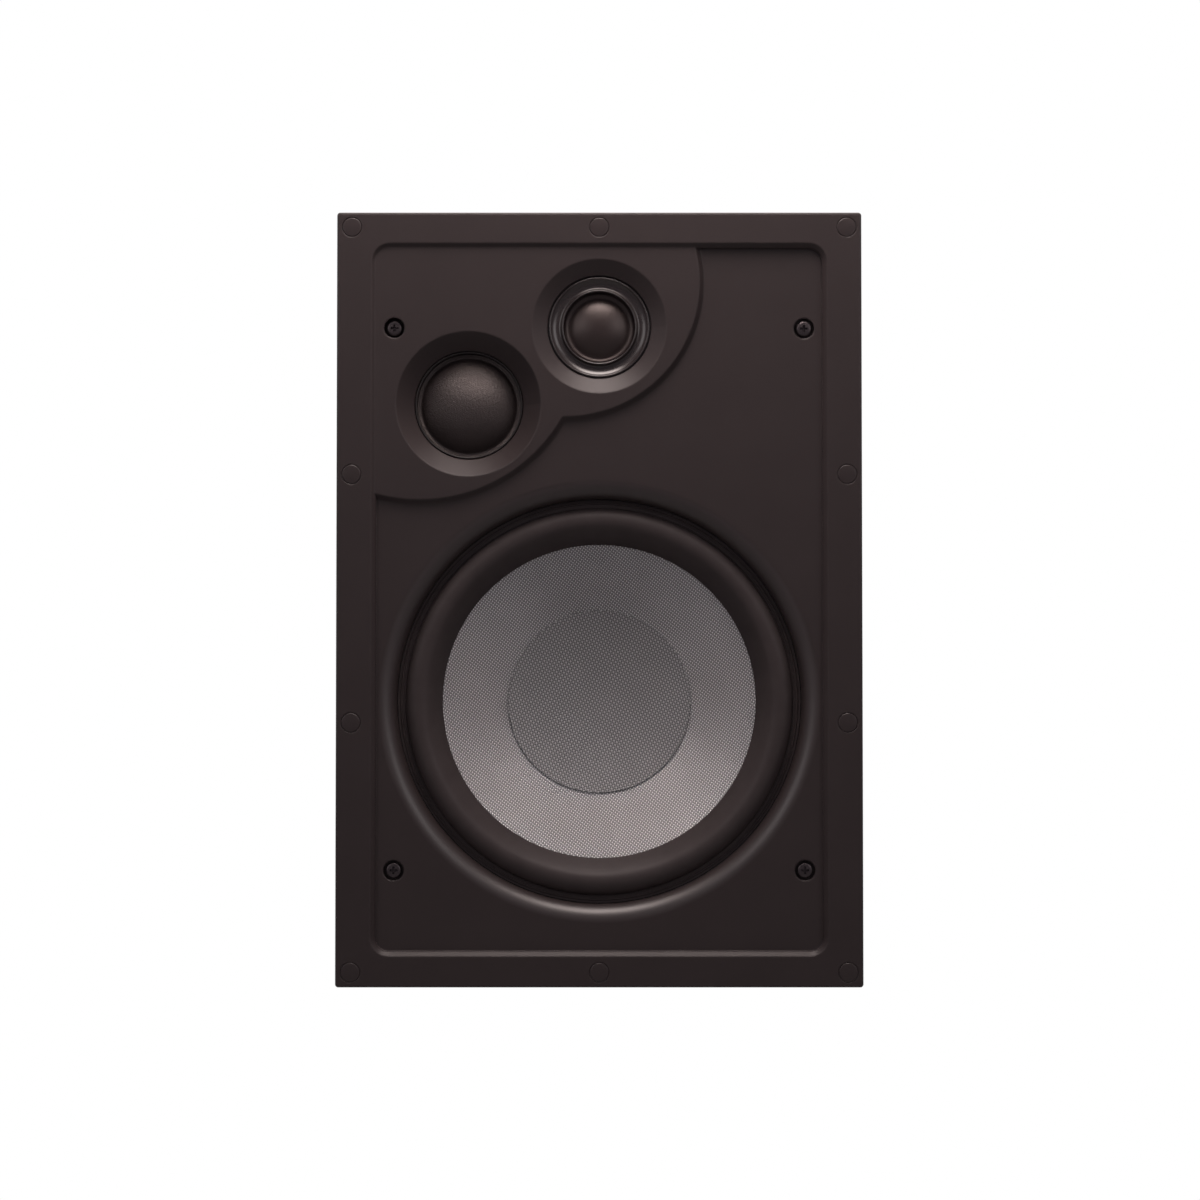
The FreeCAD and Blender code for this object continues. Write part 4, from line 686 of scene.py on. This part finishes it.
def buildFaceplate():
    f = faceplate

    def bead(inner, outer):
        half = (outer - inner) / 2
        bend = arcRadius(half, f["crown"])
        sweep = 2 * math.degrees(math.asin(half / bend))
        return (inner + half, f["brow"] - f["crown"] + bend, sweep, f["steps"])

    low = f["brow"] + f["trough"]
    steep = arcRadius(f["floor"] - f["bead"], f["trough"])
    easy = arcRadius(f["rim"] - f["floor"], f["trough"])
    bm = bmesh.new()
    drawProfile(bm, (f["bore"], f["brow"]), [
        bead(f["bore"], f["bead"]),
        (f["floor"], low - steep, -math.degrees(math.acos((steep - f["trough"]) / steep)), f["steps"]),
        (f["floor"], low - easy, -math.degrees(math.acos((easy - f["trough"]) / easy)), f["steps"]),
        bead(f["rim"], f["boss"]),
        (f["boss"], f["seat"]), (f["flange"], f["seat"]), (f["flange"], f["back"]),
        (f["bore"], f["back"])], closed=True)
    turnProfile(bm, domes["tweeter"]["centre"])
    makePiece("tweeterFaceplate", bm, glossAbs, "speaker", ["tweeter_faceplate"], sharp=50)


buildFaceplate()
print("faceplate built")


# woofer suspension and motor

motor = {
    "spider": {"inner": 19.6, "ledge": 49.0, "outer": 58.7, "seat": 44.9, "waves": 4, "wave": 2.4,
               "steps": 10},
    "topPlate": {"bore": 20.9, "radius": 45.0, "front": 56.7, "back": 63.7, "chamfer": 0.8},
    "magnet": {"bore": 21.8, "radius": 50.0, "front": 63.7, "back": 83.7, "chamfer": 1.6},
    "yoke": {"vent": 6.0, "pole": 18.65, "radius": 45.0, "front": 56.7, "plate": 83.7, "back": 90.7,
             "chamfer": 1.2},
    "coil": {"bore": 19.35, "radius": 20.2, "front": 51.2, "back": 69.2, "wire": 0.45},
}


def buildSpider():
    s = motor["spider"]
    wide = (s["ledge"] - s["inner"]) / s["waves"]
    bm = bmesh.new()
    run = []
    for step in range(1, s["waves"] * s["steps"] + 1):
        lift = (1 - math.cos(math.tau * step / s["steps"])) / 2
        run.append((s["inner"] + wide * step / s["steps"], s["seat"] - s["wave"] * lift))
    drawProfile(bm, (s["inner"], s["seat"]), run + [(s["outer"], s["seat"])])
    turnProfile(bm, woofer["centre"])
    piece = makePiece("wooferSpider", bm, varnishedCotton, None, (), sharp=80)
    rideRoll(piece)
    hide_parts("woofer_spider")


def buildRing(name, size, material, replaces):
    c = size["chamfer"]
    bm = bmesh.new()
    drawProfile(bm, (size["bore"], size["front"]), [
        (size["radius"] - c, size["front"]), (size["radius"], size["front"] + c),
        (size["radius"], size["back"] - c), (size["radius"] - c, size["back"]),
        (size["bore"], size["back"])], closed=True)
    turnProfile(bm, woofer["centre"])
    makePiece(name, bm, material, "speaker", [replaces])


def buildYoke():
    y = motor["yoke"]
    c = y["chamfer"]
    bm = bmesh.new()
    drawProfile(bm, (y["vent"], y["front"]), [
        (y["pole"] - c, y["front"]), (y["pole"], y["front"] + c), (y["pole"], y["plate"]),
        (y["radius"], y["plate"]), (y["radius"], y["back"] - c), (y["radius"] - c, y["back"]),
        (y["vent"] + c, y["back"]), (y["vent"], y["back"] - c)], closed=True)
    turnProfile(bm, woofer["centre"])
    makePiece("wooferYoke", bm, zincSteel, "speaker", ["woofer_yoke"])


# a wound ring of wire: each turn is a round ridge on the outside, each layer one on the back
def buildWinding(name, spot, size, body, replaces):
    turns = round((size["back"] - size["front"]) / size["wire"])
    wire = (size["back"] - size["front"]) / turns
    layers = max(1, round((size["radius"] - size["bore"]) / wire))
    bm = bmesh.new()
    run = []
    for turn in range(turns):
        # the last turn goes on round the corner
        sweep, facets = (270, 9) if turn == turns - 1 else (180, 6)
        run.append((size["radius"] - wire / 2, size["front"] + wire * (turn + 0.5), sweep, facets))
    for layer in range(1, layers):
        run.append((size["radius"] - wire * (layer + 0.5), size["back"] - wire / 2, 180, 6))
    inner = size["radius"] - wire * layers
    run.append((inner, size["front"]))
    drawProfile(bm, (size["radius"] - wire / 2, size["front"]), run, closed=True)
    turnProfile(bm, spot, steps=72)
    makePiece(name, bm, enamelCopper, body, [replaces], sharp=50)


buildSpider()
buildRing("wooferTopPlate", motor["topPlate"], zincSteel, "woofer_top_plate")
buildRing("wooferMagnet", motor["magnet"], groundFerrite, "woofer_magnet")
buildYoke()
buildWinding("wooferVoiceCoil", woofer["centre"], motor["coil"], "woofer_diaphragm", "woofer_voice_coil")
print("woofer motor built")


# rear chambers of the domes: moulded cups with a rounded rim and a sunk middle

chambers = {
    "midrange": {"radius": 22.0, "front": 37.7, "back": 51.7, "round": 2.5, "wall": 2.0,
                 "step": 14.0, "sink": 0.8},
    "tweeter": {"radius": 17.0, "front": 29.0, "back": 37.0, "round": 2.0, "wall": 2.0,
                "step": 10.0, "sink": 0.6},
}


def buildChamber(name):
    c = chambers[name]
    r = c["round"]
    bm = bmesh.new()
    drawProfile(bm, (c["radius"] - c["wall"], c["front"]), [
        (c["radius"], c["front"]), (c["radius"], c["back"] - r), (c["radius"] - r, c["back"] - r, 90, 8),
        (c["step"] + c["sink"], c["back"]), (c["step"], c["back"] - c["sink"]), (0, c["back"] - c["sink"])])
    turnProfile(bm, domes[name]["centre"], steps=96)
    makePiece(f"{name}RearChamber", bm, smoothAbs, "speaker", [f"{name}_rear_chamber"])


for name in chambers:
    buildChamber(name)
print("rear chambers built")


# grille magnets: lacquered discs with a softened edge

grilleMagnets = {
    "radius": 4.5, "front": -0.2, "back": 2.0, "round": 0.5,
    "across": 116.6, "up": 175.1, "bays": 3,
}


def buildGrilleMagnets():
    g = grilleMagnets
    spots = [(0, g["up"]), (0, -g["up"])]
    for bay in range(g["bays"] + 1):
        up = g["up"] * (2 * bay / g["bays"] - 1)
        spots += [(g["across"], up), (-g["across"], up)]
    r = g["round"]
    bm = bmesh.new()
    drawProfile(bm, (0, g["front"]), [
        (g["radius"] - r, g["front"]), (g["radius"] - r, g["front"] + r, 90, 5),
        (g["radius"], g["back"]), (0, g["back"])])
    turnProfile(bm, *spots, steps=48)
    makePiece("grilleMagnets", bm, magnetLacquer, "speaker", ["grille_magnets"])


buildGrilleMagnets()
print("grille magnets built")


# screws: a crowned head with a cross recess on a threaded shank

screws = {
    "clamp": {
        "head": 3.8, "height": 2.6, "round": 1.3, "crown": 0.25, "seat": 6.8,
        "shank": 2.0, "root": 1.62, "tip": 58.4, "thread": (9.0, 55.5), "pitch": 1.5, "runIn": 0.4,
        "crest": (0.45, 0.65), "ridge": 1.1,  # the ridge's flat top and its whole width
        "bite": 0.1, "play": 0.02, "facets": 20,
        "across": 96.6, "up": 127.6, "podNumber": 3, "podLift": 1.6,
        "cross": {"width": 1.3, "length": 4.6, "depth": 1.7, "taper": 0.6}},
    "driver": {
        "head": 2.7, "height": 1.8, "round": 0.9, "crown": 0.2, "shank": 1.4, "grip": 3.0,
        "cross": {"width": 0.9, "length": 3.2, "depth": 1.1, "taper": 0.6}},
}


def cutCross(bm, cross, front):
    # a cross that narrows towards its floor is taken out of the head
    cutter = bmesh.new()
    bmesh.ops.create_cube(cutter, size=cross["width"] * mm)
    bmesh.ops.scale(cutter, vec=(1, 2 * cross["depth"] / cross["width"], 1), verts=cutter.verts)
    sides = [face for face in cutter.faces if abs(face.normal.y) < 0.5]
    reach = (cross["length"] - cross["width"]) / 2 * mm
    for face in bmesh.ops.extrude_discrete_faces(cutter, faces=sides)["faces"]:
        face.normal_update()
        bmesh.ops.translate(cutter, vec=face.normal * reach, verts=face.verts)
    floor = [v for v in cutter.verts if v.co.y > 0]
    bmesh.ops.scale(cutter, vec=(cross["taper"], 1, cross["taper"]), verts=floor)
    bmesh.ops.translate(cutter, vec=(0, back(front), 0), verts=cutter.verts)
    held = []
    for shape in (bm, cutter):
        bmesh.ops.recalc_face_normals(shape, faces=shape.faces)
        mesh = bpy.data.meshes.new("blank")
        shape.to_mesh(mesh)
        held.append(bpy.data.objects.new("blank", mesh))
        scene.collection.objects.link(held[-1])
    cut = held[0].modifiers.new("cross", "BOOLEAN")
    cut.object = held[1]
    cut.solver = "EXACT"
    finished = bpy.data.meshes.new_from_object(held[0].evaluated_get(bpy.context.evaluated_depsgraph_get()))
    bm.clear()
    bm.from_mesh(finished)
    cutter.free()
    for blank in held:
        bpy.data.objects.remove(blank)


# pan head: a nearly flat top that rounds over into the side
def headPath(size, front):
    flat = size["head"] - size["round"]
    return [(flat, front + size["crown"]), (flat, front + size["crown"] + size["round"], 90, 6)]


def buildClampScrew(number, spot):
    c = screws["clamp"]
    front = c["seat"] - c["height"]
    if number == c["podNumber"]:
        front -= c["podLift"]  # a taller head, so that it shows in the deeper bore through the pod
    start, end = c["thread"]
    bm = bmesh.new()
    drawProfile(bm, (0, front), headPath(c, front) + [
        (c["head"], c["seat"]), (c["shank"], c["seat"]), (c["shank"], start),
        (c["root"], start + c["runIn"]), (c["root"], c["tip"] - c["shank"]), (0, c["tip"])])
    turnProfile(bm, steps=40)
    cutCross(bm, c["cross"], front)
    ridge = bmesh.new()
    foot = c["root"] - c["bite"]
    top = c["shank"] - c["play"]
    drawProfile(ridge, (foot, start), [
        (top, start + c["crest"][0]), (top, start + c["crest"][1]), (foot, start + c["ridge"])])
    turns = int((end - start) / c["pitch"])
    bmesh.ops.spin(
        ridge, geom=ridge.verts[:] + ridge.edges[:], cent=(0, 0, 0), axis=(0, 1, 0),
        dvec=(0, c["pitch"] * mm / c["facets"], 0), angle=turns * math.tau, steps=turns * c["facets"])
    bmesh.ops.recalc_face_normals(ridge, faces=ridge.faces)
    mesh = bpy.data.meshes.new("thread")
    ridge.to_mesh(mesh)
    ridge.free()
    bm.from_mesh(mesh)
    spread(bm, [spot])
    makePiece(
        f"clampScrew{number}", bm, blackOxide, f"clamp_screw_body_{number}",
        [f"clamp_screw_{number}"])


def buildDriverScrews(name, spots, seat, replaces, material):
    d = screws["driver"]
    top = bezelDepth - d["height"]  # drawn facing the front, then turned to face the back
    bm = bmesh.new()
    drawProfile(bm, (0, top), headPath(d, top) + [
        (d["head"], bezelDepth), (d["shank"], bezelDepth),
        (d["shank"], bezelDepth + d["grip"]), (0, bezelDepth + d["grip"])])
    turnProfile(bm, steps=32)
    cutCross(bm, d["cross"], top)
    bmesh.ops.rotate(bm, cent=(0, 0, 0), matrix=Matrix.Rotation(math.pi, 3, "X"), verts=bm.verts)
    bmesh.ops.translate(bm, vec=(0, back(seat), 0), verts=bm.verts)
    spread(bm, spots)
    makePiece(name, bm, material, "speaker", [replaces])


driverScrews = {
    "woofer": {"centre": woofer["centre"], "circle": 98.6, "count": 8, "start": 112.5, "seat": 17.7},
    "midrange": {"centre": domes["midrange"]["centre"], "circle": 30.8, "count": 3, "start": 90,
                 "seat": 17.3},
    "tweeter": {"centre": domes["tweeter"]["centre"], "circle": 27.4, "count": 3, "start": 90,
                "seat": 11.3},
}
boardScrews = {"across": (42.08, 82.08), "up": (64.1, 150.1), "seat": 16.6}

wide, high = screws["clamp"]["across"], screws["clamp"]["up"]
clampSpots = [(wide, high), (wide, -high), (-wide, high), (-wide, -high)]
for number, spot in enumerate(clampSpots, start=1):
    buildClampScrew(number, spot)
for name, d in driverScrews.items():
    ring = spotsRound(d["centre"], d["circle"], d["count"], d["start"])
    buildDriverScrews(f"{name}Screws", ring, d["seat"], f"{name}_screws", blackOxide)
boardHoles = [(across, up) for across in boardScrews["across"] for up in boardScrews["up"]]
buildDriverScrews(
    "crossoverScrews", boardHoles, boardScrews["seat"], "crossover_screws", zincSteel)
print("screws built")


# crossover parts on the back of the board

crossover = {
    "boardBack": 16.6,
    "wooferCoil": {"spot": (62.08, 137.1), "bore": 6.1, "radius": 13.8, "front": 18.4, "back": 34.8,
                   "wire": 1.2},
    "midrangeCoil": {"spot": (50.08, 110.1), "bore": 4.5, "radius": 10.0, "front": 16.6, "back": 27.6,
                     "wire": 1.0},
    "tweeterCoil": {"spot": (75.58, 110.1), "bore": 4.5, "radius": 8.5, "front": 16.6, "back": 24.6,
                    "wire": 0.8},
    "capacitors": {"across": (44.58, 56.58), "radius": 5.5, "low": 77.6, "length": 20.0, "round": 0.9,
                   "well": 0.7, "groove": (2.4, 3.0, 3.6), "grooveDepth": 0.4},
    "resistors": {"across": (66.58, 75.58), "width": 7.0, "low": 77.6, "length": 20.0, "edge": 0.5,
                  "rim": 0.7, "sink": 0.4},
    "lead": {"radius": 0.4, "apart": 2.5, "inside": 0.3, "reach": 0.8, "bend": 0.7, "facets": 10},
    "solder": {"foot": 1.1, "tip": 0.5, "height": 0.8, "facets": 12},
}


# two leads leave an end, bend down and run into the board, each into a cone of solder
def drawLeads(bm, across, depth, level):
    lead = crossover["lead"]
    solder = crossover["solder"]
    board = back(crossover["boardBack"])
    rise = (lead["reach"] + lead["inside"]) * mm
    bend = lead["bend"] * mm
    for side in (-1, 1):
        start = Vector(((across + side * lead["apart"]) * mm, back(depth), (level - lead["inside"]) * mm))
        ring = bmesh.ops.create_circle(
            bm, segments=lead["facets"], radius=lead["radius"] * mm,
            matrix=Matrix.Translation(start))["verts"]
        loop = list(dict.fromkeys(edge for vert in ring for edge in vert.link_edges))
        grown = bmesh.ops.extrude_edge_only(bm, edges=loop)["geom"]
        ends = vertsOf(grown)
        bmesh.ops.translate(bm, verts=ends, vec=(0, 0, rise))
        loop = [edge for edge in edgesOf(grown) if all(vert in ends for vert in edge.verts)]
        turned = bmesh.ops.spin(
            bm, geom=loop, cent=start + Vector((0, -bend, rise)), axis=(1, 0, 0),
            angle=math.radians(90), steps=6)["geom_last"]
        grown = bmesh.ops.extrude_edge_only(bm, edges=edgesOf(turned))["geom"]
        drop = start.y - bend - board
        bmesh.ops.translate(bm, verts=vertsOf(grown), vec=(0, -drop, 0))
        joint = Vector((start.x, board + solder["height"] / 2 * mm, start.z + rise + bend))
        bmesh.ops.create_cone(
            bm, cap_ends=True, segments=solder["facets"], depth=solder["height"] * mm,
            radius1=solder["foot"] * mm, radius2=solder["tip"] * mm,
            matrix=Matrix.Translation(joint) @ Matrix.Rotation(math.radians(-90), 4, "X"))


def buildCapacitors():
    c = crossover["capacitors"]
    r = c["round"]
    flat = c["radius"] - 2 * r
    dent = c["groove"]
    bm = bmesh.new()
    drawProfile(bm, (0, c["well"]), [
        (flat, c["well"]), (flat, 0), (c["radius"] - r, 0), (c["radius"] - r, r, 90, 6),
        (c["radius"], dent[0]), (c["radius"] - c["grooveDepth"], dent[1]), (c["radius"], dent[2]),
        (c["radius"], c["length"] - r), (c["radius"] - r, c["length"] - r, 90, 6), (flat, c["length"]),
        (flat, c["length"] - c["well"]), (0, c["length"] - c["well"])])
    turnProfile(bm, steps=48)
    # drawn along the depth, then stood upright on the board
    bmesh.ops.translate(bm, vec=(0, bezelDepth * mm, 0), verts=bm.verts)
    bmesh.ops.rotate(bm, cent=(0, 0, 0), matrix=Matrix.Rotation(math.radians(90), 3, "X"), verts=bm.verts)
    place = (0, back(crossover["boardBack"] + c["radius"]), c["low"] * mm)
    bmesh.ops.translate(bm, vec=place, verts=bm.verts)
    spread(bm, [(across, 0) for across in c["across"]])
    makePiece(
        "crossoverCapacitors", bm, shrunkSleeve, "speaker", ["crossover_capacitors"])


def buildResistors():
    c = crossover["resistors"]
    half = c["width"] / 2
    bm = bmesh.new()
    bmesh.ops.create_cube(bm, size=1)
    bmesh.ops.scale(bm, vec=(c["width"] * mm, c["width"] * mm, c["length"] * mm), verts=bm.verts)
    bmesh.ops.bevel(
        bm, geom=bm.edges[:], offset=c["edge"] * mm, segments=2, profile=0.5, affect="EDGES", material=-1)
    face = max(bm.faces, key=lambda f: f.calc_center_median().y)
    bmesh.ops.inset_region(bm, faces=[face], thickness=c["rim"] * mm)
    bmesh.ops.translate(bm, vec=(0, -c["sink"] * mm, 0), verts=face.verts)
    bmesh.ops.translate(
        bm, vec=(0, back(crossover["boardBack"] + half), (c["low"] + c["length"] / 2) * mm), verts=bm.verts)
    spread(bm, [(across, 0) for across in c["across"]])
    makePiece(
        "crossoverResistors", bm, ceramicCement, "speaker", ["crossover_resistors"], sharp=50)


def buildLeads():
    capacitors = crossover["capacitors"]
    resistors = crossover["resistors"]
    bm = bmesh.new()
    for part, stand in ((capacitors, capacitors["radius"]), (resistors, resistors["width"] / 2)):
        for across in part["across"]:
            drawLeads(bm, across, crossover["boardBack"] + stand, part["low"] + part["length"])
    bmesh.ops.recalc_face_normals(bm, faces=bm.faces)
    makePiece("componentLeads", bm, tinnedWire, "speaker", (), sharp=60)


for label in ("woofer", "midrange", "tweeter"):
    coil = crossover[f"{label}Coil"]
    buildWinding(f"{label}Inductor", coil["spot"], coil, "speaker", f"{label}_inductor_winding")
buildCapacitors()
buildResistors()
buildLeads()
print("crossover built")


# press caps of the terminals: a dished top inside a rounded rim

terminals = {
    "spots": {"positive": (69.83, 69.1), "negative": (54.33, 69.1)},
    "stem": 2.2, "stemFront": 20.9, "front": 30.0, "back": 35.6, "radius": 5.0, "round": 0.8, "dish": 0.9,
}


def buildTerminalCap(word, material):
    t = terminals
    r = t["round"]
    land = t["radius"] - 2 * r
    bowl = arcRadius(land, t["dish"])
    sweep = math.degrees(math.asin(land / bowl))
    bm = bmesh.new()
    drawProfile(bm, (0, t["stemFront"]), [
        (t["stem"], t["stemFront"]), (t["stem"], t["front"]), (t["radius"], t["front"]),
        (t["radius"], t["back"] - r), (t["radius"] - r, t["back"] - r, 90, 6), (land, t["back"]),
        (0, t["back"] - t["dish"] + bowl, -sweep, 10)])
    turnProfile(bm, t["spots"][word], steps=48)
    makePiece(
        f"terminalCap{word.title()}", bm, material, f"terminal_plunger_{word}",
        [f"terminal_cap_{word}"])


buildTerminalCap("positive", redCap)
buildTerminalCap("negative", blackCap)
print("terminal caps built")
